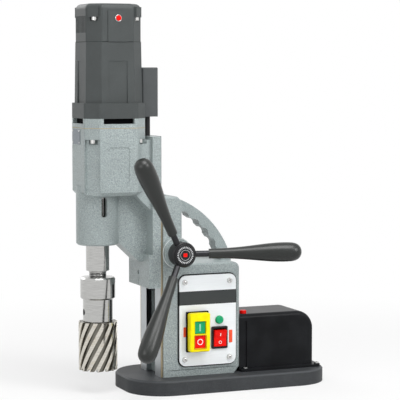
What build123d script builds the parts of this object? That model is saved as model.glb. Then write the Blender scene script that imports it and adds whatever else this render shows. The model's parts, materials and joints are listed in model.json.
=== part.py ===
from build123d import *
import os
from math import acos, atan2, cos, degrees, hypot, pi, radians, sin, sqrt, tan

os.makedirs("parts", exist_ok=True)

# Portable drill press on a vacuum base.
# Frame: origin at the centre of the base's under face, +Z up, spindle towards -X,
# operator's side towards -Y. All sizes in millimetres.

# ---------------------------------------------------------------- driving dimensions
BASE_LENGTH = 276.0
BASE_WIDTH = 134.0
BASE_THICK = 19.0
BASE_CORNER = 50.0
BASE_CHAMFER = 2.5
SEAL_INSET = 8.0
SEAL_WIDTH = 7.0
SEAL_DEPTH = 4.0
CHAMBER_DEPTH = 2.0
CHAMBER_INSET = 6.0
PAD_LENGTH = 70.0
PAD_WIDTH = 40.0
PORT_DIA = 8.0
PORT_X = 40.0
BASE_SCREW_INSET = 10.0
BASE_SCREW_HEAD = 13.0
BASE_SCREW_DIA = 8.0
BASE_SCREW_SINK = 6.0
BASE_SCREW_GRIP = 22.0

FRAME_FRONT = -95.6
FRAME_REAR = 11.0
FRAME_HALF = 40.0
BOX_HEIGHT = 146.0
COLUMN_HEIGHT = 233.0
COLUMN_DEPTH = 26.1
FRAME_EDGE = 4.0
CAVITY_FLOOR = 14.0
CAVITY_FRONT = -59.0
CAVITY_REAR = -7.0
CAVITY_BOTTOM = 48.0
CAVITY_TOP = 133.0
CAVITY_BACK_WALL = 6.0

HANDLE_CENTRE = (-109.0, 129.5)
HANDLE_OUTER = 126.0
HANDLE_DEPTH = 14.0
HANDLE_HALF = 11.0
SCALLOP_RADIUS = 8.0
SCALLOP_BITE = 2.6
SCALLOP_COUNT = 4
SCALLOP_FIRST = 32.2
SCALLOP_STEP = 9.4

RAIL_DEPTH = 8.5
RAIL_FRONT = -98.0
TONGUE_HALF = 15.6
TONGUE_DEPTH = 8.0
DOVETAIL_ANGLE = 25.0
SLIDE_CLEARANCE = 0.1
STRIP_THICK = 1.8
FRAME_LIP = 2.0
CHANNEL_BACK = -84.5
CHANNEL_HALF = 20.5
CHANNEL_SCREW_Y = 15.0
CHANNEL_SCREW_RISE = 21.0
SMALL_SCREW_DIA = 4.0
GLAND_X = -33.0
GLAND_Z = 62.0
GLAND_THREAD_DIA = 16.0
GLAND_BORE = 7.6

FEED_X = -79.0
FEED_Z = 180.5
FEED_MODULE = 1.5
FEED_TEETH = 12
FEED_SHAFT_DIA = 14.0
FEED_PINION_WIDTH = 20.0
FEED_CAVITY_GAP = 1.5
BUSH_WALL = 3.0
FIT_CLEARANCE = 0.05
LOBE_RADIUS = 20.0
LOBE_PROUD = 6.0
BOSS_RADIUS = 14.0
BOSS_PROUD = 15.0
HUB_GAP = 0.4
HUB_DIA = 32.0
HUB_WIDTH = 17.0
HUB_CAP_DIA = 27.0
HUB_CAP_THICK = 2.0
ARM_COUNT = 3
ARM_FIRST_ANGLE = 1.0
ARM_LEAN = 19.4
ARM_ROOT = 6.2
ARM_LENGTH = 153.0
ARM_ROD_DIA = 8.0
ARM_ROD_SEAT = 9.0
GRIP_START = 34.5
GRIP_ROD_DEPTH = 18.0
GRIP_SMALL_DIA = 12.5
GRIP_BULB_DIA = 24.6

SLIDE_THICK = 11.0
SLIDE_HALF = 38.0
SLIDE_BOTTOM = 135.0
SLIDE_TOP = 329.0
LUG_DEPTH = 16.0
LUG_HEIGHT = 43.0
CLAMP_Y = 3.0
CLAMP_RISE = 17.0
GUSSET_THICK = 30.0
WEB_WIDTH = 66.0
RACK_HALF = 10.0
RACK_SEAT = 4.0

SPINDLE_X = -170.5
MOTOR_OFFSET = 15.5
NOSE_RADIUS = 27.4
NOSE_BOTTOM = 191.0
BEARING_OD = 42.0
BEARING_WIDTH = 12.0
SPINDLE_DIA = 30.0
SPINDLE_BOTTOM = 157.6
GEARBOX_BOTTOM = 255.0
GEARBOX_TOP = 340.2
GEARBOX_HALF = 41.0
GEARBOX_CORNER = 16.0
GEARBOX_WALL = 4.5
GEARBOX_FLOOR = 12.0
FLANGE_DEPTH = 14.0
CORNER_RELIEF = 3.2
CORNER_RELIEF_WIDTH = 21.0
FIELD_SIZE = (27.0, 48.0)
FIELD_RISE = 37.5
FIELD_DEPTH = 0.7
PLATE_SIZE = (30.0, 19.0)
PLATE_Y = 6.0
PLATE_DROP = 11.2
GASKET_THICK = 0.8
COVER_PLATE_THICK = 11.6
COVER_FLOOR = 4.0
COVER_RIM = 5.0
WINDOW_HALF = 20.5
GEAR_MODULE = 1.0
MOTOR_TEETH = 9
LAYSHAFT_BIG_TEETH = 30
LAYSHAFT_SMALL_TEETH = 12
SPINDLE_TEETH = 38
DRIFT_WIDTH = 7.5
DRIFT_BOTTOM = 227.0
DRIFT_TOP = 253.0

FLANGE_HEIGHT = 19.4
HOUSING_HALF = 38.0
HOUSING_HEIGHT = 77.0
HOUSING_TAPER = 0.9
MOTOR_BORE = 33.0
CAP_HEIGHT = 48.0
CAP_TOP_THICK = 4.0
CAP_EDGE = 7.0
CAP_BOSS_WIDTH = 14.0
CAP_NOTCH_RISE = 31.0
CAP_NOTCH_HEIGHT = 4.6
CAP_PANEL_WIDTH = 26.0
CAP_PANEL_PROUD = 0.9
VENT_COUNT = 8
VENT_PITCH = 5.0
VENT_SIZE = (2.4, 21.0)
OVERLOAD_RISE = 29.5
OVERLOAD_DIA = 7.0
MOTOR_FIELD = (25.0, 53.0)
MOTOR_FIELD_DEPTH = 1.3
GUARD_LIFT = 1.4
GUARD_HEIGHT = 63.0
GUARD_WIDTH = 28.0
GUARD_BEHIND = 6.0
GUARD_TUBE_DIA = 9.0

CUTTER_DIA = 50.0
CUTTER_TEETH = 14
CUTTER_BOTTOM = 29.0
CUTTER_TOP = 91.7
CUTTER_DEPTH = 54.0
CUTTER_WALL = 5.5
CUTTER_LEAN = 28.0
FLUTE_DEPTH = 2.5
FLUTE_WIDTH = 6.2
TOOTH_HEIGHT = 3.8
TOOTH_GULLET = 6.0
SHANK_DIA = 19.05
SHANK_LENGTH = 26.0
ARBOR_DIA = 38.4
ARBOR_TOP = 149.0
COLLAR_DIA = 45.0
COLLAR_BOTTOM = 121.0
NECK_DIA = 21.0
PILOT_DIA = 6.35
PILOT_FIT = 0.07
PILOT_BOTTOM = 24.6
PILOT_TOP = 128.0
SET_SCREW_RISE = 12.3
SET_SCREW_DIA = 8.0

PANEL_X = -35.0
PANEL_Z = 91.2
PANEL_LENGTH = 79.0
PANEL_HEIGHT = 117.5
PANEL_CORNER = 9.0
PANEL_THICK = 2.0
GASKET_EDGE = 1.5
PANEL_GASKET = 1.0
PANEL_SCREW_PITCH = (62.5, 100.0)
SWITCH_X = -50.8
SWITCH_Z = 77.2
SWITCH_SIZE = (28.0, 50.0)
SWITCH_BASE_THICK = 4.0
SURROUND_DEPTH = 9.0
BUTTON_SIZE = (15.0, 16.0)
BUTTON_GAP = 0.3
BUTTON_PITCH = 18.6
BUTTON_TRAVEL = 3.0
LAMP_X = -19.2
LAMP_Z = 90.6
LAMP_DIA = 11.0
ROCKER_X = -19.3
ROCKER_Z = 67.6
ROCKER_FRAME = (22.0, 29.0)
ROCKER_WINDOW = (17.6, 24.4)
ROCKER_TILT = 7.0

COVER_FRONT = 13.0
COVER_REAR = 121.5
COVER_HALF = 35.0
COVER_TOP = 94.0
COVER_WALL = 3.0
COVER_END_RADIUS = 24.0
FLANGE_END = 129.0
FLANGE_HALF = 42.5
FLANGE_THICK = 3.5
RELEASE_X = 23.0
RELEASE_Y = -23.5
RELEASE_DIA = 9.0
RELEASE_TRAVEL = 3.0

# ---------------------------------------------------------------- derived places
MOTOR_X = SPINDLE_X + MOTOR_OFFSET
PRESSURE = radians(25.0)
FIRST_STAGE = GEAR_MODULE * (MOTOR_TEETH + LAYSHAFT_BIG_TEETH) / 2
SECOND_STAGE = GEAR_MODULE * (LAYSHAFT_SMALL_TEETH + SPINDLE_TEETH) / 2
LAYSHAFT_DX = (SECOND_STAGE**2 - FIRST_STAGE**2 + MOTOR_OFFSET**2) / (2 * MOTOR_OFFSET)
LAYSHAFT_X = SPINDLE_X + LAYSHAFT_DX
LAYSHAFT_Y = sqrt(SECOND_STAGE**2 - LAYSHAFT_DX**2)
PITCH_RADIUS = FEED_MODULE * FEED_TEETH / 2
RACK_PITCH = pi * FEED_MODULE
RACK_LINE = FEED_X - PITCH_RADIUS
RACK_TIP = RACK_LINE + 0.8 * FEED_MODULE
RACK_ROOT = RACK_LINE - 1.15 * FEED_MODULE
TONGUE_BACK = RAIL_FRONT + TONGUE_DEPTH
COVER_PLATE_BOTTOM = GEARBOX_TOP + GASKET_THICK
MOTOR_BOTTOM = COVER_PLATE_BOTTOM + COVER_PLATE_THICK
HOUSING_BOTTOM = MOTOR_BOTTOM + FLANGE_HEIGHT
CAP_BOTTOM = HOUSING_BOTTOM + HOUSING_HEIGHT
CAP_HALF = HOUSING_HALF - HOUSING_HEIGHT * tan(radians(HOUSING_TAPER))
MOTOR_TOP = CAP_BOTTOM + CAP_HEIGHT
PANEL_FACE = -FRAME_HALF - PANEL_GASKET - PANEL_THICK
SWITCH_FACE = PANEL_FACE - SWITCH_BASE_THICK
HUB_BACK = -FRAME_HALF - BOSS_PROUD - HUB_GAP
HUB_FACE = HUB_BACK - HUB_WIDTH
BOX_TOP = BASE_THICK + BOX_HEIGHT
COLUMN_TOP = BASE_THICK + COLUMN_HEIGHT
GEAR_LEVEL = GEARBOX_BOTTOM + GEARBOX_FLOOR + 10.0
STAGE_LEVEL = GEAR_LEVEL + 19.0
SCREW_RADIUS = sqrt(2.0) * GEARBOX_HALF - GEARBOX_CORNER / sqrt(2.0) - 3.8
CORNER_REACH = sqrt(2.0) * GEARBOX_HALF - GEARBOX_CORNER / sqrt(2.0)
BASE_SCREW_Y = FRAME_HALF - BASE_SCREW_INSET
BASE_SCREW_FRONT = FRAME_FRONT + 2.36 * BASE_SCREW_INSET
BASE_SCREW_REAR = FRAME_REAR - 1.1 * BASE_SCREW_INSET
BASE_SCREWS = [(BASE_SCREW_FRONT, -BASE_SCREW_Y), (BASE_SCREW_FRONT, BASE_SCREW_Y),
               (BASE_SCREW_REAR, -BASE_SCREW_Y), (BASE_SCREW_REAR, BASE_SCREW_Y)]
CHANNEL_SCREWS = [(-CHANNEL_SCREW_Y, BASE_THICK + CHANNEL_SCREW_RISE),
                  (CHANNEL_SCREW_Y, BASE_THICK + CHANNEL_SCREW_RISE)]
CLAMP_Z = SLIDE_BOTTOM + CLAMP_RISE
SET_SCREW_Z = CUTTER_TOP + SET_SCREW_RISE
GUARD_FRONT = MOTOR_X + GEARBOX_HALF
GUARD_REAR = RAIL_FRONT + GUARD_BEHIND
GUARD_BOTTOM = MOTOR_BOTTOM + GUARD_LIFT
CAP_SCREW_RADIUS = HOUSING_HALF - 0.6


def side(y):
    """Plane facing the operator (-Y) at the given y; local x is +X, local y is +Z."""
    return Plane.XZ.offset(-y)


def octagon(half, corner):
    """Corners of a square with cut corners, centred on the sketch's origin."""
    flat = half - corner
    return [(half, flat), (flat, half), (-flat, half), (-half, flat),
            (-half, -flat), (-flat, -half), (flat, -half), (half, -flat)]


def gear_points(teeth, module, phase, centre=(0.0, 0.0), backlash=0.08):
    """Outline of a spur gear with one tooth centred on the direction phase (degrees)."""
    pitch = module * teeth / 2
    base = pitch * cos(PRESSURE)
    root = pitch - 1.15 * module
    tip = pitch + 0.8 * module
    involute = tan(PRESSURE) - PRESSURE
    half_pitch = pi / (2 * teeth) - backlash * module / pitch
    flank = []
    for radius in (max(root, base), pitch, tip):
        angle = acos(min(1.0, base / radius))
        flank.append((radius, half_pitch + involute - (tan(angle) - angle)))
    if base > root:
        flank.insert(0, (root, flank[0][1]))
    points = []
    for tooth in range(teeth):
        middle = radians(phase) + 2 * pi * tooth / teeth
        outline = [(radius, middle - half) for radius, half in flank]
        outline += [(radius, middle + half) for radius, half in reversed(flank)]
        points += [(centre[0] + r * cos(a), centre[1] + r * sin(a)) for r, a in outline]
    return points


def toward(x0, y0, x1, y1):
    """Direction in degrees from one point to another."""
    return degrees(atan2(y1 - y0, x1 - x0))


def arm_plane(index):
    """Plane that holds one feed arm: local x runs outward along the arm."""
    turn = radians(ARM_FIRST_ANGLE + 360.0 * index / ARM_COUNT)
    lean = radians(ARM_LEAN)
    along = Vector(cos(turn) * cos(lean), -sin(lean), sin(turn) * cos(lean))
    across = Vector(-sin(turn), 0, cos(turn))
    start = Vector(FEED_X, HUB_BACK - ARM_ROOT, FEED_Z)
    return Plane(origin=start, x_dir=along, z_dir=across.cross(along))


# ================================================================ stand
with BuildPart() as base_plate:
    with BuildSketch(Plane.XY):
        RectangleRounded(BASE_LENGTH, BASE_WIDTH, BASE_CORNER)
    extrude(amount=BASE_THICK)
    chamfer(base_plate.edges().group_by(Axis.Z)[-1], BASE_CHAMFER)
    with BuildSketch(Plane.XY):
        RectangleRounded(BASE_LENGTH - 2 * SEAL_INSET, BASE_WIDTH - 2 * SEAL_INSET, BASE_CORNER - SEAL_INSET)
        inner = SEAL_INSET + SEAL_WIDTH
        RectangleRounded(BASE_LENGTH - 2 * inner, BASE_WIDTH - 2 * inner, BASE_CORNER - inner,
                         mode=Mode.SUBTRACT)
    extrude(amount=SEAL_DEPTH, mode=Mode.SUBTRACT)
    with BuildSketch(Plane.XY):
        inner = SEAL_INSET + SEAL_WIDTH + CHAMBER_INSET
        RectangleRounded(BASE_LENGTH - 2 * inner, BASE_WIDTH - 2 * inner, BASE_CORNER - inner)
        RectangleRounded(PAD_LENGTH, PAD_WIDTH, 6.0, mode=Mode.SUBTRACT)
    extrude(amount=CHAMBER_DEPTH, mode=Mode.SUBTRACT)
    with BuildSketch(Plane.XY):
        with Locations((PORT_X, 0.0)):
            Circle(PORT_DIA / 2)
    extrude(amount=BASE_THICK, mode=Mode.SUBTRACT)
    with BuildSketch(Plane.XY.offset(CHAMBER_DEPTH)):
        with Locations(BASE_SCREWS):
            Circle(BASE_SCREW_HEAD / 2)
    extrude(amount=BASE_SCREW_SINK, mode=Mode.SUBTRACT)
    with BuildSketch(Plane.XY.offset(CHAMBER_DEPTH)):
        with Locations(BASE_SCREWS):
            Circle(BASE_SCREW_DIA / 2)
    extrude(amount=BASE_THICK, mode=Mode.SUBTRACT)
base_plate.part.label = "base_plate"
export_step(base_plate.part, "parts/base_plate.step")

with BuildPart() as seal_ring:
    with BuildSketch(Plane.XY):
        RectangleRounded(BASE_LENGTH - 2 * SEAL_INSET, BASE_WIDTH - 2 * SEAL_INSET, BASE_CORNER - SEAL_INSET)
        inner = SEAL_INSET + SEAL_WIDTH
        RectangleRounded(BASE_LENGTH - 2 * inner, BASE_WIDTH - 2 * inner, BASE_CORNER - inner,
                         mode=Mode.SUBTRACT)
    extrude(amount=SEAL_DEPTH)
seal_ring.part.label = "seal_ring"
export_step(seal_ring.part, "parts/seal_ring.step")

SCREW_TOP = CHAMBER_DEPTH + BASE_SCREW_SINK + BASE_SCREW_GRIP
COLUMN_REAR = FRAME_FRONT + COLUMN_DEPTH
HANDLE_INNER = HANDLE_OUTER - HANDLE_DEPTH
with BuildPart() as frame_casting:
    with BuildSketch(side(FRAME_HALF)):
        with BuildLine():
            Polyline((FRAME_FRONT, BASE_THICK), (FRAME_REAR - 6.0, BASE_THICK),
                     (FRAME_REAR, BASE_THICK + 8.0), (FRAME_REAR, BOX_TOP - 9.0))
            ThreePointArc((FRAME_REAR, BOX_TOP - 9.0),
                          (FRAME_REAR - 9.0 + 9.0 * cos(pi / 4), BOX_TOP - 9.0 + 9.0 * sin(pi / 4)),
                          (FRAME_REAR - 9.0, BOX_TOP))
            Polyline((FRAME_REAR - 9.0, BOX_TOP), (COLUMN_REAR, BOX_TOP),
                     (COLUMN_REAR, COLUMN_TOP - 6.0), (COLUMN_REAR - 6.0, COLUMN_TOP),
                     (FRAME_FRONT, COLUMN_TOP), (FRAME_FRONT, BASE_THICK))
        make_face()
    extrude(amount=2 * FRAME_HALF)
    sides = frame_casting.edges().filter_by(lambda e: abs(abs(e.center().Y) - FRAME_HALF) < 0.01)
    outline = sides.filter_by(lambda e: e.center().X > FRAME_FRONT + 1 and e.center().Z > BASE_THICK + 1)
    chamfer(outline, FRAME_EDGE / 2)
    # feed shaft lobe across the casting and its stepped boss
    with BuildSketch(side(-FRAME_HALF - LOBE_PROUD)):
        with Locations((FEED_X, FEED_Z)):
            Circle(LOBE_RADIUS)
    extrude(amount=-(2 * FRAME_HALF + LOBE_PROUD))
    with BuildSketch(side(-FRAME_HALF - BOSS_PROUD)):
        with Locations((FEED_X, FEED_Z)):
            Circle(BOSS_RADIUS)
    extrude(amount=-(BOSS_PROUD + 2.0))
    with BuildSketch(side(-FRAME_HALF - BOSS_PROUD - 1.0)):
        with Locations((FRAME_FRONT - LOBE_RADIUS / 2, FEED_Z)):
            Rectangle(LOBE_RADIUS, 3 * LOBE_RADIUS)
    extrude(amount=-(2 * FRAME_HALF + BOSS_PROUD + 2.0), mode=Mode.SUBTRACT)
    # carry handle
    top = radians(80.0)
    low = radians(9.0)
    mid = (top + low) / 2
    hx, hz = HANDLE_CENTRE
    with BuildSketch(side(HANDLE_HALF)):
        with BuildLine():
            outer_top = (hx + HANDLE_OUTER * cos(top), hz + HANDLE_OUTER * sin(top))
            outer_low = (hx + HANDLE_OUTER * cos(low), hz + HANDLE_OUTER * sin(low))
            inner_top = (hx + HANDLE_INNER * cos(top), hz + HANDLE_INNER * sin(top))
            inner_low = (hx + HANDLE_INNER * cos(low), hz + HANDLE_INNER * sin(low))
            ThreePointArc(outer_top, (hx + HANDLE_OUTER * cos(mid), hz + HANDLE_OUTER * sin(mid)), outer_low)
            Line(outer_low, inner_low)
            ThreePointArc(inner_low, (hx + HANDLE_INNER * cos(mid), hz + HANDLE_INNER * sin(mid)), inner_top)
            Line(inner_top, outer_top)
        make_face()
        for finger in range(SCALLOP_COUNT):
            turn = radians(SCALLOP_FIRST + finger * SCALLOP_STEP)
            reach = HANDLE_INNER + SCALLOP_BITE - SCALLOP_RADIUS
            with Locations((hx + reach * cos(turn), hz + reach * sin(turn))):
                Circle(SCALLOP_RADIUS, mode=Mode.SUBTRACT)
        with Locations((FRAME_REAR + 20.0, BOX_TOP)):
            Rectangle(40.0, 80.0, mode=Mode.SUBTRACT)
    extrude(amount=2 * HANDLE_HALF)
    # rail pockets and the channel for the slide's tongue and rack
    with BuildSketch(Plane.XY.offset(BASE_THICK)):
        with Locations(((RAIL_FRONT + RAIL_DEPTH + FRAME_FRONT) / 2, 0)):
            Rectangle(RAIL_FRONT + RAIL_DEPTH - FRAME_FRONT, 2 * (SLIDE_HALF - STRIP_THICK))
    extrude(amount=COLUMN_HEIGHT + 10.0, mode=Mode.SUBTRACT)
    with BuildSketch(Plane.XY.offset(BASE_THICK + CAVITY_FLOOR)):
        with Locations(((CHANNEL_BACK + FRAME_FRONT) / 2, 0)):
            Rectangle(CHANNEL_BACK - FRAME_FRONT, 2 * CHANNEL_HALF)
    extrude(amount=COLUMN_HEIGHT, mode=Mode.SUBTRACT)
    # pinion chamber, then the bush bores
    with BuildSketch(side(FEED_PINION_WIDTH / 2 + 2.0)):
        with Locations((FEED_X, FEED_Z)):
            Circle(PITCH_RADIUS + FEED_MODULE + FEED_CAVITY_GAP)
    extrude(amount=FEED_PINION_WIDTH + 4.0, mode=Mode.SUBTRACT)
    with BuildSketch(side(FRAME_HALF)):
        with Locations((FEED_X, FEED_Z)):
            Circle(FEED_SHAFT_DIA / 2 + BUSH_WALL)
    extrude(amount=2 * FRAME_HALF + BOSS_PROUD, mode=Mode.SUBTRACT)
    # control cavity behind the panel
    with BuildSketch(side(FRAME_HALF - CAVITY_BACK_WALL)):
        with Locations(((CAVITY_FRONT + CAVITY_REAR) / 2, (CAVITY_BOTTOM + CAVITY_TOP) / 2)):
            RectangleRounded(CAVITY_REAR - CAVITY_FRONT, CAVITY_TOP - CAVITY_BOTTOM, 5.0)
    extrude(amount=2 * FRAME_HALF - CAVITY_BACK_WALL, mode=Mode.SUBTRACT)
    # panel screw holes
    with BuildSketch(side(-FRAME_HALF)):
        with Locations((PANEL_X - 1.0, PANEL_Z)):
            with GridLocations(PANEL_SCREW_PITCH[0], PANEL_SCREW_PITCH[1], 2, 2):
                Circle(2.0)
    extrude(amount=-12.0, mode=Mode.SUBTRACT)
    # base screw holes, cable gland hole, channel screw holes
    with BuildSketch(Plane.XY.offset(BASE_THICK)):
        with Locations(BASE_SCREWS):
            Circle(BASE_SCREW_DIA / 2)
    extrude(amount=SCREW_TOP - BASE_THICK, mode=Mode.SUBTRACT)
    with BuildSketch(side(FRAME_HALF)):
        with Locations((GLAND_X, GLAND_Z)):
            Circle(GLAND_THREAD_DIA / 2)
    extrude(amount=CAVITY_BACK_WALL, mode=Mode.SUBTRACT)
    with BuildSketch(Plane.YZ.offset(CHANNEL_BACK)):
        with Locations(CHANNEL_SCREWS):
            Circle(SMALL_SCREW_DIA / 2)
    extrude(amount=8.0, mode=Mode.SUBTRACT)
frame_casting.part.label = "frame_casting"
export_step(frame_casting.part, "parts/frame_casting.step")

RAIL_MOUTH = TONGUE_HALF + SLIDE_CLEARANCE / cos(radians(DOVETAIL_ANGLE))
with BuildPart() as guide_rails:
    with BuildSketch(Plane.XY.offset(BASE_THICK)):
        undercut = RAIL_DEPTH * tan(radians(DOVETAIL_ANGLE))
        with BuildLine():
            Polyline((RAIL_FRONT, -RAIL_MOUTH), (RAIL_FRONT + RAIL_DEPTH, -RAIL_MOUTH - undercut),
                     (RAIL_FRONT + RAIL_DEPTH, -SLIDE_HALF + STRIP_THICK),
                     (RAIL_FRONT, -SLIDE_HALF + STRIP_THICK), close=True)
        make_face()
    extrude(amount=COLUMN_HEIGHT)
    mirror(about=Plane.XZ)
guide_rails.part.label = "guide_rails"
export_step(guide_rails.part, "parts/guide_rails.step")

with BuildPart() as wear_strips:
    with BuildSketch(Plane.XY.offset(BASE_THICK)):
        with Locations(((RAIL_FRONT + FRAME_FRONT) / 2, -SLIDE_HALF + STRIP_THICK / 2),
                       ((RAIL_FRONT + FRAME_FRONT) / 2, SLIDE_HALF - STRIP_THICK / 2)):
            Rectangle(FRAME_FRONT - RAIL_FRONT, STRIP_THICK)
    extrude(amount=COLUMN_HEIGHT)
wear_strips.part.label = "wear_strips"
export_step(wear_strips.part, "parts/wear_strips.step")

with BuildPart() as feed_bushes:
    with BuildSketch(side(FRAME_HALF)):
        with Locations((FEED_X, FEED_Z)):
            Circle(FEED_SHAFT_DIA / 2 + BUSH_WALL)
            Circle(FEED_SHAFT_DIA / 2 + FIT_CLEARANCE, mode=Mode.SUBTRACT)
    extrude(amount=FRAME_HALF - FEED_PINION_WIDTH / 2 - 2.0)
    with BuildSketch(side(-FEED_PINION_WIDTH / 2 - 2.0)):
        with Locations((FEED_X, FEED_Z)):
            Circle(FEED_SHAFT_DIA / 2 + BUSH_WALL)
            Circle(FEED_SHAFT_DIA / 2 + FIT_CLEARANCE, mode=Mode.SUBTRACT)
    extrude(amount=FRAME_HALF + BOSS_PROUD - FEED_PINION_WIDTH / 2 - 2.0)
feed_bushes.part.label = "feed_bushes"
export_step(feed_bushes.part, "parts/feed_bushes.step")

# ================================================================ control panel
with BuildPart() as panel_gasket:
    with BuildSketch(side(-FRAME_HALF)):
        with Locations((PANEL_X, PANEL_Z)):
            RectangleRounded(PANEL_LENGTH + 2 * GASKET_EDGE, PANEL_HEIGHT + 2 * GASKET_EDGE,
                             PANEL_CORNER + GASKET_EDGE)
        with Locations(((CAVITY_FRONT + CAVITY_REAR) / 2, (CAVITY_BOTTOM + CAVITY_TOP) / 2)):
            Rectangle(CAVITY_REAR - CAVITY_FRONT, CAVITY_TOP - CAVITY_BOTTOM, mode=Mode.SUBTRACT)
        with Locations((PANEL_X - 1.0, PANEL_Z)):
            with GridLocations(PANEL_SCREW_PITCH[0], PANEL_SCREW_PITCH[1], 2, 2):
                Circle(2.0, mode=Mode.SUBTRACT)
    extrude(amount=PANEL_GASKET)
panel_gasket.part.label = "panel_gasket"
export_step(panel_gasket.part, "parts/panel_gasket.step")

SWITCH_BODY = (17.0, 44.0)
ROCKER_BODY = (19.4, 26.4)
LAMP_BODY_DIA = 8.0
with BuildPart() as panel_plate:
    with BuildSketch(side(-FRAME_HALF - PANEL_GASKET)):
        with Locations((PANEL_X, PANEL_Z)):
            RectangleRounded(PANEL_LENGTH, PANEL_HEIGHT, PANEL_CORNER)
        with Locations((SWITCH_X + 1.0, SWITCH_Z)):
            Rectangle(SWITCH_BODY[0], SWITCH_BODY[1], mode=Mode.SUBTRACT)
        with Locations((ROCKER_X, ROCKER_Z)):
            Rectangle(ROCKER_BODY[0], ROCKER_BODY[1], mode=Mode.SUBTRACT)
        with Locations((LAMP_X, LAMP_Z)):
            Circle(LAMP_BODY_DIA / 2, mode=Mode.SUBTRACT)
        with Locations((PANEL_X - 1.0, PANEL_Z)):
            with GridLocations(PANEL_SCREW_PITCH[0], PANEL_SCREW_PITCH[1], 2, 2):
                Circle(2.0, mode=Mode.SUBTRACT)
    extrude(amount=PANEL_THICK)
panel_plate.part.label = "panel_plate"
export_step(panel_plate.part, "parts/panel_plate.step")

STEM_DIA = 6.0
GREEN_Z = SWITCH_Z - 2.8 + BUTTON_PITCH / 2
RED_Z = GREEN_Z - BUTTON_PITCH
BUTTONS = [(SWITCH_X, GREEN_Z), (SWITCH_X, RED_Z)]
BUTTON_BACK = SWITCH_FACE - BUTTON_TRAVEL - 0.5
with BuildPart() as switch_body:
    with BuildSketch(side(PANEL_FACE)):
        with Locations((SWITCH_X, SWITCH_Z)):
            Rectangle(SWITCH_SIZE[0] + 2.0, SWITCH_SIZE[1] + 2.0)
    extrude(amount=SWITCH_BASE_THICK)
    with BuildSketch(side(PANEL_FACE)):
        with Locations((SWITCH_X + 1.0, SWITCH_Z)):
            Rectangle(SWITCH_BODY[0], SWITCH_BODY[1])
    extrude(amount=-26.0)
    with BuildSketch(side(SWITCH_FACE)):
        with Locations(BUTTONS):
            Circle(STEM_DIA / 2 + FIT_CLEARANCE)
    extrude(amount=-14.0, mode=Mode.SUBTRACT)
switch_body.part.label = "switch_body"
export_step(switch_body.part, "parts/switch_body.step")

with BuildPart() as switch_surround:
    with BuildSketch(side(SWITCH_FACE)):
        with Locations((SWITCH_X, SWITCH_Z)):
            RectangleRounded(SWITCH_SIZE[0], SWITCH_SIZE[1], 2.5)
    extrude(amount=SURROUND_DEPTH)
    chamfer(switch_surround.edges().group_by(Axis.Y)[0], 1.2)
    with BuildSketch(side(SWITCH_FACE)):
        with Locations(BUTTONS):
            Rectangle(BUTTON_SIZE[0] + 2 * BUTTON_GAP, BUTTON_SIZE[1] + 2 * BUTTON_GAP)
    extrude(amount=SURROUND_DEPTH, mode=Mode.SUBTRACT)
switch_surround.part.label = "switch_surround"
export_step(switch_surround.part, "parts/switch_surround.step")

with BuildPart() as start_button:
    with BuildSketch(side(BUTTON_BACK)):
        with Locations(BUTTONS[0]):
            Rectangle(*BUTTON_SIZE)
    extrude(amount=4.0)
    chamfer(start_button.edges().group_by(Axis.Y)[0], 0.6)
    with BuildSketch(side(BUTTON_BACK)):
        with Locations(BUTTONS[0]):
            Circle(STEM_DIA / 2)
    extrude(amount=-10.0)
start_button.part.label = "start_button"
export_step(start_button.part, "parts/start_button.step")

with BuildPart() as stop_button:
    with BuildSketch(side(BUTTON_BACK)):
        with Locations(BUTTONS[1]):
            Rectangle(*BUTTON_SIZE)
    extrude(amount=4.6)
    chamfer(stop_button.edges().group_by(Axis.Y)[0], 0.6)
    with BuildSketch(side(BUTTON_BACK)):
        with Locations(BUTTONS[1]):
            Circle(STEM_DIA / 2)
    extrude(amount=-10.0)
stop_button.part.label = "stop_button"
export_step(stop_button.part, "parts/stop_button.step")

with BuildPart() as vacuum_lamp:
    with BuildSketch(side(PANEL_FACE)):
        with Locations((LAMP_X, LAMP_Z)):
            Circle(LAMP_DIA / 2)
    extrude(amount=3.4)
    fillet(vacuum_lamp.edges().group_by(Axis.Y)[0], 2.4)
    # holder behind the panel
    with BuildSketch(side(-FRAME_HALF + 14.0)):
        with Locations((LAMP_X, LAMP_Z)):
            Circle(LAMP_BODY_DIA / 2)
    extrude(amount=14.0 + PANEL_GASKET + PANEL_THICK)
    with BuildSketch(side(-FRAME_HALF - PANEL_GASKET)):
        with Locations((LAMP_X, LAMP_Z)):
            Circle(LAMP_BODY_DIA / 2 + 2.0)
    extrude(amount=-4.0)
vacuum_lamp.part.label = "vacuum_lamp"
export_step(vacuum_lamp.part, "parts/vacuum_lamp.step")

ROCKER_PIVOT_Y = PANEL_FACE + 3.0
PIN_DIA = 3.0
with BuildPart() as rocker_housing:
    with BuildSketch(side(PANEL_FACE)):
        with Locations((ROCKER_X, ROCKER_Z)):
            RectangleRounded(ROCKER_FRAME[0], ROCKER_FRAME[1], 1.5)
    extrude(amount=2.6)
    with BuildSketch(side(PANEL_FACE)):
        with Locations((ROCKER_X, ROCKER_Z)):
            Rectangle(*ROCKER_BODY)
    extrude(amount=-22.0)
    with BuildSketch(side(PANEL_FACE - 2.6)):
        with Locations((ROCKER_X, ROCKER_Z)):
            Rectangle(*ROCKER_WINDOW)
    extrude(amount=-16.0, mode=Mode.SUBTRACT)
    # pivot pin across the window
    with BuildSketch(Plane.YZ.offset(ROCKER_X - ROCKER_WINDOW[0] / 2)):
        with Locations((ROCKER_PIVOT_Y, ROCKER_Z)):
            Circle(PIN_DIA / 2)
    extrude(amount=ROCKER_WINDOW[0])
rocker_housing.part.label = "rocker_housing"
export_step(rocker_housing.part, "parts/rocker_housing.step")


# The rocker rests in the off pose: lower half pressed in, upper half standing out.
ROCKER_HALF = ROCKER_WINDOW[1] / 2 - 1.2
tilt = radians(ROCKER_TILT)


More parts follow.
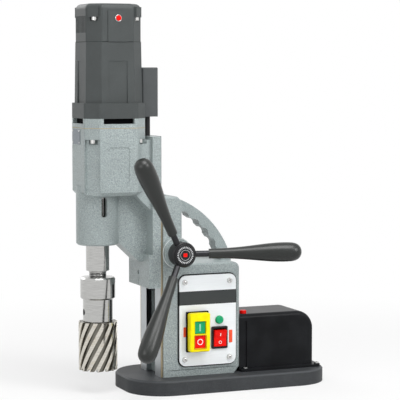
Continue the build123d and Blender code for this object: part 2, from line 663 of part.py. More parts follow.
def rocker_point(forward, height):
    """Place of a rocker outline point in (y, z), turned about the pin into the off pose."""
    y = -forward
    return (ROCKER_PIVOT_Y + y * cos(tilt) - height * sin(tilt),
            ROCKER_Z + y * sin(tilt) + height * cos(tilt))


with BuildPart() as rocker:
    with BuildSketch(Plane.YZ.offset(ROCKER_X - ROCKER_WINDOW[0] / 2 + 0.3)):
        with BuildLine():
            Polyline(rocker_point(-3.5, -6.0), rocker_point(3.0, -ROCKER_HALF + 0.6),
                     rocker_point(8.4, -ROCKER_HALF + 0.6), rocker_point(7.0, 0.0),
                     rocker_point(8.4, ROCKER_HALF - 0.6), rocker_point(3.0, ROCKER_HALF - 0.6),
                     rocker_point(-3.5, 6.0), close=True)
        make_face()
        with Locations((ROCKER_PIVOT_Y, ROCKER_Z)):
            Circle(PIN_DIA / 2 + FIT_CLEARANCE, mode=Mode.SUBTRACT)
    extrude(amount=ROCKER_WINDOW[0] - 0.6)
rocker.part.label = "rocker"
export_step(rocker.part, "parts/rocker.step")

with BuildPart() as control_board:
    back = FRAME_HALF - CAVITY_BACK_WALL
    with BuildSketch(side(back - 6.0)):
        with Locations((-33.0, 100.0)):
            Rectangle(46.0, 58.0)
    extrude(amount=1.8)
    with BuildSketch(side(back)):
        with Locations((-33.0, 100.0)):
            with GridLocations(38.0, 50.0, 2, 2):
                Circle(3.0)
    extrude(amount=6.0)
    with BuildSketch(side(back - 7.8)):
        with Locations((-42.0, 112.0), (-22.0, 110.0)):
            Rectangle(14.0, 18.0)
    extrude(amount=14.0)
    with BuildSketch(side(back - 7.8)):
        with Locations((-44.0, 84.0), (-26.0, 84.0)):
            Circle(5.0)
    extrude(amount=20.0)
control_board.part.label = "control_board"
export_step(control_board.part, "parts/control_board.step")

with BuildPart() as cable_gland:
    with BuildSketch(side(FRAME_HALF - CAVITY_BACK_WALL)):
        with Locations((GLAND_X, GLAND_Z)):
            Circle(GLAND_THREAD_DIA / 2)
    extrude(amount=-CAVITY_BACK_WALL)
    with BuildSketch(side(FRAME_HALF)):
        with Locations((GLAND_X, GLAND_Z)):
            RegularPolygon(11.0, 6)
    extrude(amount=-6.0)
    with BuildSketch(side(FRAME_HALF + 6.0)):
        with Locations((GLAND_X, GLAND_Z)):
            Circle(9.0)
    extrude(amount=-9.0)
    fillet(cable_gland.edges().group_by(Axis.Y)[-1], 3.0)
    with BuildSketch(side(FRAME_HALF - CAVITY_BACK_WALL)):
        with Locations((GLAND_X, GLAND_Z)):
            Circle(GLAND_BORE / 2)
    extrude(amount=-30.0, mode=Mode.SUBTRACT)
cable_gland.part.label = "cable_gland"
export_step(cable_gland.part, "parts/cable_gland.step")

# ================================================================ vacuum pump end
COVER_SCREW_Y = (COVER_HALF + FLANGE_HALF) / 2
COVER_SCREW_FRONT = COVER_FRONT + 7.0
COVER_SCREW_REAR = FLANGE_END - 5.0
COVER_SCREWS = [(COVER_SCREW_FRONT, -COVER_SCREW_Y), (COVER_SCREW_REAR, -COVER_SCREW_Y),
                (COVER_SCREW_FRONT, COVER_SCREW_Y), (COVER_SCREW_REAR, COVER_SCREW_Y)]
with BuildPart() as pump_cover:
    with BuildSketch(side(COVER_HALF)):
        with BuildLine():
            arc = COVER_END_RADIUS
            Polyline((COVER_REAR, COVER_TOP - arc), (COVER_REAR, BASE_THICK),
                     (COVER_FRONT, BASE_THICK), (COVER_FRONT, COVER_TOP), (COVER_REAR - arc, COVER_TOP))
            ThreePointArc((COVER_REAR - arc, COVER_TOP),
                          (COVER_REAR - arc + arc * sin(pi / 4), COVER_TOP - arc + arc * cos(pi / 4)),
                          (COVER_REAR, COVER_TOP - arc))
        make_face()
    extrude(amount=2 * COVER_HALF)
    rim = pump_cover.edges().filter_by(lambda e: abs(abs(e.center().Y) - COVER_HALF) < 0.01)
    fillet(rim.filter_by(lambda e: e.center().Z > BASE_THICK + 1 and e.center().X > COVER_FRONT + 1), 6.0)
    with BuildSketch(Plane.XY.offset(BASE_THICK)):
        with Locations(((COVER_FRONT + FLANGE_END) / 2, 0)):
            RectangleRounded(FLANGE_END - COVER_FRONT, 2 * FLANGE_HALF, 5.0)
    extrude(amount=FLANGE_THICK)
    for face in (-COVER_HALF, COVER_HALF):
        with BuildSketch(side(face)):
            with Locations((COVER_FRONT + 9.0, (BASE_THICK + COVER_TOP) / 2 - 2.5)):
                Rectangle(4.0, COVER_TOP - BASE_THICK - 13.0)
        extrude(amount=1.6, both=True, mode=Mode.SUBTRACT)
    with BuildSketch(side(COVER_HALF - COVER_WALL - 2.0)):
        with BuildLine():
            arc = COVER_END_RADIUS - COVER_WALL
            rear = COVER_REAR - COVER_WALL
            roof = COVER_TOP - COVER_WALL
            Polyline((rear, roof - arc), (rear, BASE_THICK), (COVER_FRONT + COVER_WALL, BASE_THICK),
                     (COVER_FRONT + COVER_WALL, roof), (rear - arc, roof))
            ThreePointArc((rear - arc, roof),
                          (rear - arc + arc * sin(pi / 4), roof - arc + arc * cos(pi / 4)),
                          (rear, roof - arc))
        make_face()
    extrude(amount=2 * (COVER_HALF - COVER_WALL - 2.0), mode=Mode.SUBTRACT)
    with BuildSketch(Plane.XY.offset(COVER_TOP)):
        with Locations((RELEASE_X, RELEASE_Y)):
            Circle(RELEASE_DIA / 2 + FIT_CLEARANCE)
    extrude(amount=-2 * COVER_WALL, mode=Mode.SUBTRACT)
    with BuildSketch(Plane.XY.offset(BASE_THICK)):
        with Locations(COVER_SCREWS):
            Circle(2.0)
    extrude(amount=FLANGE_THICK, mode=Mode.SUBTRACT)
pump_cover.part.label = "pump_cover"
export_step(pump_cover.part, "parts/pump_cover.step")

with BuildPart() as stand_screws:
    # countersunk base screws
    with BuildSketch(Plane.XY.offset(CHAMBER_DEPTH)):
        with Locations(BASE_SCREWS):
            Circle(BASE_SCREW_HEAD / 2)
            RegularPolygon(3.0, 6, mode=Mode.SUBTRACT)
    extrude(amount=BASE_SCREW_SINK)
    with BuildSketch(Plane.XY.offset(CHAMBER_DEPTH + BASE_SCREW_SINK)):
        with Locations(BASE_SCREWS):
            Circle(BASE_SCREW_DIA / 2)
    extrude(amount=BASE_SCREW_GRIP)
    # guide channel screws
    with BuildSketch(Plane.YZ.offset(CHANNEL_BACK)):
        with Locations(CHANNEL_SCREWS):
            Circle(SMALL_SCREW_DIA / 2)
    extrude(amount=8.0)
    with BuildSketch(Plane.YZ.offset(CHANNEL_BACK)):
        with Locations(CHANNEL_SCREWS):
            Circle(3.6)
            RegularPolygon(1.6, 6, mode=Mode.SUBTRACT)
    extrude(amount=-2.4)
    # panel screws
    with BuildSketch(side(-FRAME_HALF + 10.0)):
        with Locations((PANEL_X - 1.0, PANEL_Z)):
            with GridLocations(PANEL_SCREW_PITCH[0], PANEL_SCREW_PITCH[1], 2, 2):
                Circle(2.0)
    extrude(amount=10.0 + PANEL_GASKET + PANEL_THICK)
    with BuildSketch(side(PANEL_FACE)):
        with Locations((PANEL_X - 1.0, PANEL_Z)):
            with GridLocations(PANEL_SCREW_PITCH[0], PANEL_SCREW_PITCH[1], 2, 2):
                Circle(3.2)
                RegularPolygon(1.4, 6, mode=Mode.SUBTRACT)
    extrude(amount=2.2)
    # pump cover screws
    with BuildSketch(Plane.XY.offset(BASE_THICK)):
        with Locations(COVER_SCREWS):
            Circle(2.0)
    extrude(amount=FLANGE_THICK)
    with BuildSketch(Plane.XY.offset(BASE_THICK + FLANGE_THICK)):
        with Locations(COVER_SCREWS):
            Circle(3.2)
            RegularPolygon(1.4, 6, mode=Mode.SUBTRACT)
    extrude(amount=2.2)
stand_screws.part.label = "stand_screws"
export_step(stand_screws.part, "parts/stand_screws.step")

PUMP_Z = BASE_THICK + 33.0
PUMP_FRONT = COVER_FRONT + 17.0
PUMP_HEAD_LENGTH = 26.0
PUMP_MOTOR_LENGTH = 54.0
PUMP_RADIUS = 21.0
PUMP_HEAD_SIZE = 44.0
MOTOR_FRONT = PUMP_FRONT + PUMP_HEAD_LENGTH
with BuildPart() as pump_bracket:
    with BuildSketch(Plane.XY.offset(BASE_THICK)):
        with Locations((MOTOR_FRONT + 24.0, 0)):
            Rectangle(64.0, 46.0)
    extrude(amount=4.0)
    with BuildSketch(Plane.XY.offset(BASE_THICK)):
        with Locations((MOTOR_FRONT + 6.0, 0), (MOTOR_FRONT + 48.0, 0)):
            Rectangle(8.0, 40.0)
    extrude(amount=PUMP_Z - BASE_THICK - 8.0)
    with BuildSketch(Plane.YZ.offset(MOTOR_FRONT - 6.0)):
        with Locations((0, PUMP_Z)):
            Circle(PUMP_RADIUS)
    extrude(amount=PUMP_MOTOR_LENGTH + 6.0, mode=Mode.SUBTRACT)
pump_bracket.part.label = "pump_bracket"
export_step(pump_bracket.part, "parts/pump_bracket.step")

with BuildPart() as pump_motor:
    with BuildSketch(Plane.YZ.offset(MOTOR_FRONT)):
        with Locations((0, PUMP_Z)):
            Circle(PUMP_RADIUS)
    extrude(amount=PUMP_MOTOR_LENGTH)
    chamfer(pump_motor.edges(), 1.5)
pump_motor.part.label = "pump_motor"
export_step(pump_motor.part, "parts/pump_motor.step")

with BuildPart() as pump_head:
    with BuildSketch(Plane.YZ.offset(PUMP_FRONT)):
        with Locations((0, PUMP_Z)):
            RectangleRounded(PUMP_HEAD_SIZE, PUMP_HEAD_SIZE, 8.0)
    extrude(amount=PUMP_HEAD_LENGTH)
pump_head.part.label = "pump_head"
export_step(pump_head.part, "parts/pump_head.step")

with BuildPart() as vacuum_pipe:
    with BuildSketch(Plane.XY.offset(BASE_THICK)):
        with Locations((PORT_X, 0)):
            Circle(6.0)
    extrude(amount=PUMP_Z - PUMP_HEAD_SIZE / 2 - BASE_THICK)
    with BuildSketch(Plane.XY.offset(BASE_THICK)):
        with Locations((PORT_X, 0)):
            Circle(3.0)
    extrude(amount=PUMP_Z - PUMP_HEAD_SIZE / 2 - BASE_THICK, mode=Mode.SUBTRACT)
vacuum_pipe.part.label = "vacuum_pipe"
export_step(vacuum_pipe.part, "parts/vacuum_pipe.step")

ROOF = COVER_TOP - COVER_WALL
with BuildPart() as release_valve:
    with BuildSketch(Plane.XY.offset(ROOF)):
        with Locations((RELEASE_X, RELEASE_Y + 1.0)):
            Rectangle(12.0, 12.0)
    extrude(amount=-24.0)
    with BuildSketch(Plane.XY.offset(ROOF)):
        with Locations((RELEASE_X, RELEASE_Y)):
            Circle(RELEASE_DIA / 2 + FIT_CLEARANCE)
    extrude(amount=-RELEASE_TRAVEL - 1.0, mode=Mode.SUBTRACT)
    with BuildSketch(Plane.XY.offset(ROOF)):
        with Locations((RELEASE_X, RELEASE_Y)):
            Circle(2.5 + FIT_CLEARANCE)
    extrude(amount=-18.0, mode=Mode.SUBTRACT)
release_valve.part.label = "release_valve"
export_step(release_valve.part, "parts/release_valve.step")

with BuildPart() as release_button:
    with BuildSketch(Plane.XY.offset(ROOF)):
        with Locations((RELEASE_X, RELEASE_Y)):
            Circle(RELEASE_DIA / 2)
    extrude(amount=COVER_WALL + 4.2)
    fillet(release_button.edges().group_by(Axis.Z)[-1], 1.0)
    with BuildSketch(Plane.XY.offset(ROOF)):
        with Locations((RELEASE_X, RELEASE_Y)):
            Circle(2.5)
    extrude(amount=-12.0)
release_button.part.label = "release_button"
export_step(release_button.part, "parts/release_button.step")

# ================================================================ feed
with BuildPart() as feed_shaft:
    with BuildSketch(side(FRAME_HALF)):
        with Locations((FEED_X, FEED_Z)):
            Circle(FEED_SHAFT_DIA / 2)
    extrude(amount=FRAME_HALF - HUB_FACE)
feed_shaft.part.label = "feed_shaft"
export_step(feed_shaft.part, "parts/feed_shaft.step")

with BuildPart() as feed_pinion:
    with BuildSketch(side(FEED_PINION_WIDTH / 2)):
        with BuildLine():
            Polyline(*gear_points(FEED_TEETH, FEED_MODULE, 180.0, (FEED_X, FEED_Z)), close=True)
        make_face()
        with Locations((FEED_X, FEED_Z)):
            Circle(FEED_SHAFT_DIA / 2, mode=Mode.SUBTRACT)
    extrude(amount=FEED_PINION_WIDTH)
feed_pinion.part.label = "feed_pinion"
export_step(feed_pinion.part, "parts/feed_pinion.step")

with BuildPart() as feed_hub:
    with BuildSketch(side(HUB_BACK)):
        with Locations((FEED_X, FEED_Z)):
            Circle(HUB_DIA / 2)
    extrude(amount=HUB_WIDTH)
    chamfer(feed_hub.edges().group_by(Axis.Y)[0], 1.5)
    with BuildSketch(side(HUB_BACK)):
        with Locations((FEED_X, FEED_Z)):
            Circle(FEED_SHAFT_DIA / 2)
    extrude(amount=HUB_WIDTH, mode=Mode.SUBTRACT)
    for arm in range(ARM_COUNT):
        frame = arm_plane(arm)
        with BuildSketch(frame):
            with Locations((ARM_ROD_SEAT + HUB_DIA / 2, ARM_ROD_DIA / 4)):
                Rectangle(HUB_DIA, ARM_ROD_DIA / 2)
        revolve(axis=Axis(frame.origin, frame.x_dir), mode=Mode.SUBTRACT)
feed_hub.part.label = "feed_hub"
export_step(feed_hub.part, "parts/feed_hub.step")

with BuildPart() as hub_cap:
    with BuildSketch(side(HUB_FACE)):
        with Locations((FEED_X, FEED_Z)):
            Circle(HUB_CAP_DIA / 2)
    extrude(amount=HUB_CAP_THICK)
    chamfer(hub_cap.edges().group_by(Axis.Y)[0], 0.8)
hub_cap.part.label = "hub_cap"
export_step(hub_cap.part, "parts/hub_cap.step")

GRIP_ROD_END = GRIP_START + GRIP_ROD_DEPTH
with BuildPart() as arm_rods:
    for arm in range(ARM_COUNT):
        frame = arm_plane(arm)
        with BuildSketch(frame):
            with Locations(((ARM_ROD_SEAT + GRIP_ROD_END) / 2, ARM_ROD_DIA / 4)):
                Rectangle(GRIP_ROD_END - ARM_ROD_SEAT, ARM_ROD_DIA / 2)
        revolve(axis=Axis(frame.origin, frame.x_dir))
arm_rods.part.label = "arm_rods"
export_step(arm_rods.part, "parts/arm_rods.step")

with BuildPart() as arm_grips:
    for arm in range(ARM_COUNT):
        frame = arm_plane(arm)
        bulb = GRIP_BULB_DIA / 2
        small = GRIP_SMALL_DIA / 2
        widest = ARM_LENGTH - bulb - 5.0
        with BuildSketch(frame):
            with BuildLine():
                Polyline((GRIP_ROD_END, 0), (GRIP_ROD_END, ARM_ROD_DIA / 2), (GRIP_START, ARM_ROD_DIA / 2),
                         (GRIP_START, small))
                Spline((GRIP_START, small), ((GRIP_START + widest) / 2, small + 2.6), (widest, bulb),
                       (ARM_LENGTH - 4.0, bulb * 0.72), (ARM_LENGTH, 0),
                       tangents=((1, 0), (0, -1)))
                Line((ARM_LENGTH, 0), (GRIP_ROD_END, 0))
            make_face()
        revolve(axis=Axis(frame.origin, frame.x_dir))
arm_grips.part.label = "arm_grips"
export_step(arm_grips.part, "parts/arm_grips.step")

# ================================================================ drill head casting
SLIDE_FRONT = RAIL_FRONT - SLIDE_THICK
inner_half = GEARBOX_HALF - GEARBOX_WALL
GEARBOX_CAVITY = GEARBOX_BOTTOM + GEARBOX_FLOOR
BUSH_OD = 11.0
JOURNAL_DIA = 7.0
with BuildPart() as head_casting:
    with BuildSketch(Plane.XY.offset(GEARBOX_BOTTOM)):
        with Locations((MOTOR_X, 0)):
            Polygon(*octagon(GEARBOX_HALF, GEARBOX_CORNER))
    extrude(amount=GEARBOX_TOP - GEARBOX_BOTTOM)
    fillet(head_casting.edges().filter_by(Axis.Z), 5.0)
    chamfer(head_casting.edges().group_by(Axis.Z)[0], 4.5)
    with BuildSketch(Plane.XY.offset(NOSE_BOTTOM)):
        with Locations((SPINDLE_X, 0)):
            Circle(NOSE_RADIUS)
    extrude(amount=GEARBOX_CAVITY - NOSE_BOTTOM)
    chamfer(head_casting.edges().group_by(Axis.Z)[0], 2.0)
    # slide plate with its lower lug
    with BuildSketch(Plane.XY.offset(SLIDE_BOTTOM)):
        with Locations((RAIL_FRONT - SLIDE_THICK / 2, 0)):
            Rectangle(SLIDE_THICK, 2 * SLIDE_HALF)
    extrude(amount=SLIDE_TOP - SLIDE_BOTTOM)
    with BuildSketch(Plane.XY.offset(SLIDE_BOTTOM)):
        with Locations((RAIL_FRONT - LUG_DEPTH / 2, 0)):
            Rectangle(LUG_DEPTH, 2 * SLIDE_HALF)
    extrude(amount=LUG_HEIGHT)
    # gusset from the nose down to the slide, and the wide web above it
    gusset_low = SLIDE_BOTTOM + LUG_HEIGHT - 10.0
    gusset_high = GEARBOX_BOTTOM + 13.0
    with BuildSketch(side(GUSSET_THICK / 2)):
        with BuildLine():
            Polyline((SPINDLE_X + 18.0, NOSE_BOTTOM + 2.0), (SPINDLE_X + 24.5, NOSE_BOTTOM + 2.0),
                     (RAIL_FRONT - 22.0, gusset_low), (RAIL_FRONT - 2.0, gusset_low),
                     (RAIL_FRONT - 2.0, gusset_high), (SPINDLE_X + 18.0, gusset_high), close=True)
        make_face()
    extrude(amount=GUSSET_THICK)
    web_front = MOTOR_X + 15.0
    web_low = GEARBOX_BOTTOM - 21.0
    web_high = SLIDE_TOP - 4.0
    with BuildSketch(side(WEB_WIDTH / 2)):
        with BuildLine():
            Polyline((web_front, GEARBOX_BOTTOM + 1.0), (web_front + 9.0, GEARBOX_BOTTOM + 1.0),
                     (SLIDE_FRONT, web_low), (RAIL_FRONT - 2.0, web_low),
                     (RAIL_FRONT - 2.0, web_high), (web_front, web_high), close=True)
        make_face()
    extrude(amount=WEB_WIDTH)
    # dovetail tongue
    flare = TONGUE_DEPTH * tan(radians(DOVETAIL_ANGLE))
    with BuildSketch(Plane.XY.offset(SLIDE_BOTTOM)):
        with BuildLine():
            Polyline((RAIL_FRONT - 1.0, -TONGUE_HALF), (RAIL_FRONT, -TONGUE_HALF),
                     (TONGUE_BACK, -TONGUE_HALF - flare), (TONGUE_BACK, TONGUE_HALF + flare),
                     (RAIL_FRONT, TONGUE_HALF), (RAIL_FRONT - 1.0, TONGUE_HALF), close=True)
        make_face()
    extrude(amount=SLIDE_TOP - SLIDE_BOTTOM)
    with BuildSketch(Plane.XY.offset(SLIDE_BOTTOM)):
        with Locations((TONGUE_BACK - RACK_SEAT / 2, 0)):
            Rectangle(RACK_SEAT, 2 * RACK_HALF)
    extrude(amount=SLIDE_TOP - SLIDE_BOTTOM, mode=Mode.SUBTRACT)
    # gear chamber
    with BuildSketch(Plane.XY.offset(GEARBOX_CAVITY)):
        with Locations((MOTOR_X, 0)):
            Polygon(*octagon(inner_half, GEARBOX_CORNER + 2.0))
    extrude(amount=GEARBOX_TOP - GEARBOX_CAVITY, mode=Mode.SUBTRACT)
    with BuildSketch(Plane.XY.offset(GEARBOX_CAVITY - 2.0)):
        with Locations((LAYSHAFT_X, LAYSHAFT_Y)):
            Circle(BUSH_OD / 2 + 2.0)
    extrude(amount=2.0 + 8.0)
    with BuildSketch(Plane.XY.offset(GEARBOX_CAVITY)):
        with Locations((LAYSHAFT_X, LAYSHAFT_Y)):
            Circle(BUSH_OD / 2)
    extrude(amount=8.0, mode=Mode.SUBTRACT)
    # spindle bore, drift slot
    with BuildSketch(Plane.XY.offset(NOSE_BOTTOM)):
        with Locations((SPINDLE_X, 0)):
            Circle(BEARING_OD / 2)
    extrude(amount=GEARBOX_CAVITY - NOSE_BOTTOM, mode=Mode.SUBTRACT)
    with BuildSketch(side(NOSE_RADIUS + 3.0)):
        with Locations((SPINDLE_X, (DRIFT_BOTTOM + DRIFT_TOP) / 2)):
            SlotOverall(DRIFT_TOP - DRIFT_BOTTOM, DRIFT_WIDTH, rotation=90)
    extrude(amount=2 * NOSE_RADIUS + 6.0, mode=Mode.SUBTRACT)
    # front corner reliefs under the flange, head pockets and screw holes
    for corner in (1, 2):
        turn = radians(45.0 + 90.0 * corner)
        reach = CORNER_REACH + 10.0 - CORNER_RELIEF
        with BuildSketch(Plane.XY.offset(GEARBOX_TOP - FLANGE_DEPTH)):
            with Locations(Location((MOTOR_X + reach * cos(turn), reach * sin(turn), 0), degrees(turn))):
                Rectangle(20.0, CORNER_RELIEF_WIDTH)
        extrude(amount=GEARBOX_BOTTOM - GEARBOX_TOP + FLANGE_DEPTH - 1.0, mode=Mode.SUBTRACT)
    for corner in range(4):
        turn = radians(45.0 + 90.0 * corner)
        reach = CORNER_REACH - 0.6
        with BuildSketch(Plane.XY.offset(GEARBOX_TOP - FLANGE_DEPTH)):
            with Locations(Location((MOTOR_X + reach * cos(turn), reach * sin(turn), 0), degrees(turn))):
                Rectangle(11.0, 12.0)
        extrude(amount=-6.0, mode=Mode.SUBTRACT)
    # sunk fields on the two flat sides
    for face in (-GEARBOX_HALF, GEARBOX_HALF):
        with BuildSketch(side(face)):
            with Locations((MOTOR_X, GEARBOX_BOTTOM + FIELD_RISE)):
                RectangleRounded(FIELD_SIZE[0], FIELD_SIZE[1], 3.0)
        extrude(amount=FIELD_DEPTH, both=True, mode=Mode.SUBTRACT)
    with BuildSketch(Plane.XY.offset(GEARBOX_TOP - FLANGE_DEPTH)):
        with Locations((MOTOR_X, 0)):
            with PolarLocations(SCREW_RADIUS, 4, 45.0):
                Circle(2.0)
    extrude(amount=FLANGE_DEPTH, mode=Mode.SUBTRACT)
    # clamp screw hole and slit in the lug
    with BuildSketch(Plane.YZ.offset(RAIL_FRONT - LUG_DEPTH)):
        with Locations((CLAMP_Y, CLAMP_Z)):
            Circle(3.0)
    extrude(amount=10.0, mode=Mode.SUBTRACT)
    with BuildSketch(Plane.YZ.offset(RAIL_FRONT - LUG_DEPTH)):
        with Locations((CLAMP_Y, SLIDE_BOTTOM + 5.5)):
            Rectangle(1.6, 11.0)
    extrude(amount=7.0, mode=Mode.SUBTRACT)
head_casting.part.label = "head_casting"
export_step(head_casting.part, "parts/head_casting.step")

rack_teeth = int((SLIDE_TOP - SLIDE_BOTTOM) / RACK_PITCH / 2)
with BuildPart() as feed_rack:
    with BuildSketch(side(RACK_HALF)):
        with BuildLine():
            rise = tan(PRESSURE)
            root_half = RACK_PITCH / 4 - 0.08 + (RACK_LINE - RACK_ROOT) * rise
            tip_half = RACK_PITCH / 4 - 0.08 - (RACK_TIP - RACK_LINE) * rise
            first = int((SLIDE_BOTTOM - FEED_Z) / RACK_PITCH) - 1
            outline = [(TONGUE_BACK - RACK_SEAT, SLIDE_BOTTOM), (RACK_ROOT, SLIDE_BOTTOM)]
            for tooth in range(first, first + 2 * rack_teeth + 4):
                middle = FEED_Z + (tooth + 0.5) * RACK_PITCH
                if middle - root_half > SLIDE_BOTTOM + 0.2 and middle + root_half < SLIDE_TOP - 0.2:
                    outline += [(RACK_ROOT, middle - root_half), (RACK_TIP, middle - tip_half),
                                (RACK_TIP, middle + tip_half), (RACK_ROOT, middle + root_half)]
            outline += [(RACK_ROOT, SLIDE_TOP), (TONGUE_BACK - RACK_SEAT, SLIDE_TOP)]
            Polyline(*outline, close=True)
        make_face()
    extrude(amount=2 * RACK_HALF)
feed_rack.part.label = "feed_rack"
export_step(feed_rack.part, "parts/feed_rack.step")

with BuildPart() as nose_seal:
    with BuildSketch(Plane.XY.offset(NOSE_BOTTOM)):
        with Locations((SPINDLE_X, 0)):
            Circle(BEARING_OD / 2)
            Circle(SPINDLE_DIA / 2 + 0.3, mode=Mode.SUBTRACT)
    extrude(amount=3.0)
nose_seal.part.label = "nose_seal"
export_step(nose_seal.part, "parts/nose_seal.step")

BOSS_BOTTOM = STAGE_LEVEL + 8.0 + 4.0
UPPER_BUSH_TOP = BOSS_BOTTOM + 10.0

with BuildPart() as gearbox_gasket:
    with BuildSketch(Plane.XY.offset(GEARBOX_TOP)):
        with Locations((MOTOR_X, 0)):
            Polygon(*octagon(GEARBOX_HALF, GEARBOX_CORNER))
            Polygon(*octagon(inner_half, GEARBOX_CORNER + 2.0), mode=Mode.SUBTRACT)
            with PolarLocations(SCREW_RADIUS, 4, 45.0):
                Circle(2.0, mode=Mode.SUBTRACT)
    extrude(amount=GASKET_THICK)
    fillet(gearbox_gasket.edges().filter_by(Axis.Z).sort_by(
        lambda e: hypot(e.center().X - MOTOR_X, e.center().Y))[-8:], 5.0)
gearbox_gasket.part.label = "gearbox_gasket"
export_step(gearbox_gasket.part, "parts/gearbox_gasket.step")

LOWER_BEARING_R = 13.0
ARMATURE_DIA = 10.0
with BuildPart() as gear_cover:
    with BuildSketch(Plane.XY.offset(COVER_PLATE_BOTTOM)):
        with Locations((MOTOR_X, 0)):
            Polygon(*octagon(GEARBOX_HALF, GEARBOX_CORNER))
    extrude(amount=COVER_PLATE_THICK)
    fillet(gear_cover.edges().filter_by(Axis.Z), 5.0)
    with BuildSketch(Plane.XY.offset(COVER_PLATE_BOTTOM + COVER_FLOOR)):
        with Locations((MOTOR_X, 0)):
            Polygon(*octagon(GEARBOX_HALF - COVER_RIM, GEARBOX_CORNER + 1.0))
            Circle(LOWER_BEARING_R + 4.0, mode=Mode.SUBTRACT)
    extrude(amount=COVER_PLATE_THICK, mode=Mode.SUBTRACT)
    with BuildSketch(Plane.XY.offset(COVER_PLATE_BOTTOM + COVER_FLOOR + 1.0)):
        with Locations((MOTOR_X + GEARBOX_HALF, 0), (MOTOR_X - GEARBOX_HALF, 0)):
            Rectangle(4 * COVER_RIM, 2 * WINDOW_HALF)
        with Locations((MOTOR_X, GEARBOX_HALF), (MOTOR_X, -GEARBOX_HALF)):
            Rectangle(2 * WINDOW_HALF, 4 * COVER_RIM)
    extrude(amount=COVER_PLATE_THICK, mode=Mode.SUBTRACT)
    with BuildSketch(Plane.XY.offset(BOSS_BOTTOM)):
        with Locations((LAYSHAFT_X, LAYSHAFT_Y)):
            Circle(BUSH_OD / 2 + 3.0)
    extrude(amount=COVER_PLATE_BOTTOM - BOSS_BOTTOM)
    with BuildSketch(Plane.XY.offset(BOSS_BOTTOM)):
        with Locations((LAYSHAFT_X, LAYSHAFT_Y)):
            Circle(BUSH_OD / 2)
    extrude(amount=10.0, mode=Mode.SUBTRACT)
    with BuildSketch(Plane.XY.offset(BOSS_BOTTOM)):
        with Locations((MOTOR_X, 0)):
            Circle(ARMATURE_DIA / 2 + 1.0)
    extrude(amount=60.0, mode=Mode.SUBTRACT)
    with BuildSketch(Plane.XY.offset(COVER_PLATE_BOTTOM + COVER_FLOOR - 1.0)):
        with Locations((MOTOR_X, 0)):
            Circle(LOWER_BEARING_R)
    extrude(amount=20.0, mode=Mode.SUBTRACT)
    with BuildSketch(Plane.XY.offset(COVER_PLATE_BOTTOM)):
        with Locations((MOTOR_X, 0)):
            with PolarLocations(SCREW_RADIUS, 4, 45.0):
                Circle(2.0)
    extrude(amount=8.0, mode=Mode.SUBTRACT)
gear_cover.part.label = "gear_cover"
export_step(gear_cover.part, "parts/gear_cover.step")

with BuildPart() as rating_plate:
    with BuildSketch(Plane.YZ.offset(MOTOR_X - GEARBOX_HALF)):
        with Locations((PLATE_Y, GEARBOX_TOP - PLATE_DROP)):
            RectangleRounded(PLATE_SIZE[0], PLATE_SIZE[1], 1.5)
    extrude(amount=-0.6)
rating_plate.part.label = "rating_plate"
export_step(rating_plate.part, "parts/rating_plate.step")

# ================================================================ motor
with BuildPart() as motor_housing:
    with BuildSketch(Plane.XY.offset(HOUSING_BOTTOM)):
        with Locations((MOTOR_X, 0)):
            Polygon(*octagon(HOUSING_HALF, GEARBOX_CORNER))
    extrude(amount=HOUSING_HEIGHT, taper=HOUSING_TAPER)
    with BuildSketch(Plane.XY.offset(MOTOR_BOTTOM)):
        with Locations((MOTOR_X, 0)):
            Polygon(*octagon(GEARBOX_HALF, GEARBOX_CORNER))
    extrude(amount=FLANGE_HEIGHT)
    upright = motor_housing.edges().filter_by(lambda e: e.center().Z < HOUSING_BOTTOM - 5.0
                                              and abs(e.center().Z - MOTOR_BOTTOM - FLANGE_HEIGHT / 2) < 0.1)
    fillet(upright, 5.0)
    with BuildSketch(Plane.XY.offset(MOTOR_BOTTOM)):
        with Locations((MOTOR_X, 0)):
            Circle(MOTOR_BORE)
    extrude(amount=FLANGE_HEIGHT + HOUSING_HEIGHT, mode=Mode.SUBTRACT)
    with BuildSketch(Plane.XY.offset(CAP_BOTTOM - 19.0)):
        with Locations((MOTOR_X, 0)):
            with PolarLocations(CAP_SCREW_RADIUS, 4, 45.0):
                Circle(2.0)
    extrude(amount=19.0, mode=Mode.SUBTRACT)
    with BuildSketch(Plane.YZ.offset(MOTOR_X - HOUSING_HALF)):
        with Locations((-2.0, HOUSING_BOTTOM + MOTOR_FIELD[1] / 2)):
            Rectangle(MOTOR_FIELD[0], MOTOR_FIELD[1])
    extrude(amount=MOTOR_FIELD_DEPTH, mode=Mode.SUBTRACT)
    with BuildSketch(side(-HOUSING_HALF)):
        with Locations((MOTOR_X, HOUSING_BOTTOM + MOTOR_FIELD[1] / 2)):
            Rectangle(MOTOR_FIELD[0], MOTOR_FIELD[1])
    extrude(amount=-MOTOR_FIELD_DEPTH, mode=Mode.SUBTRACT)
motor_housing.part.label = "motor_housing"
export_step(motor_housing.part, "parts/motor_housing.step")

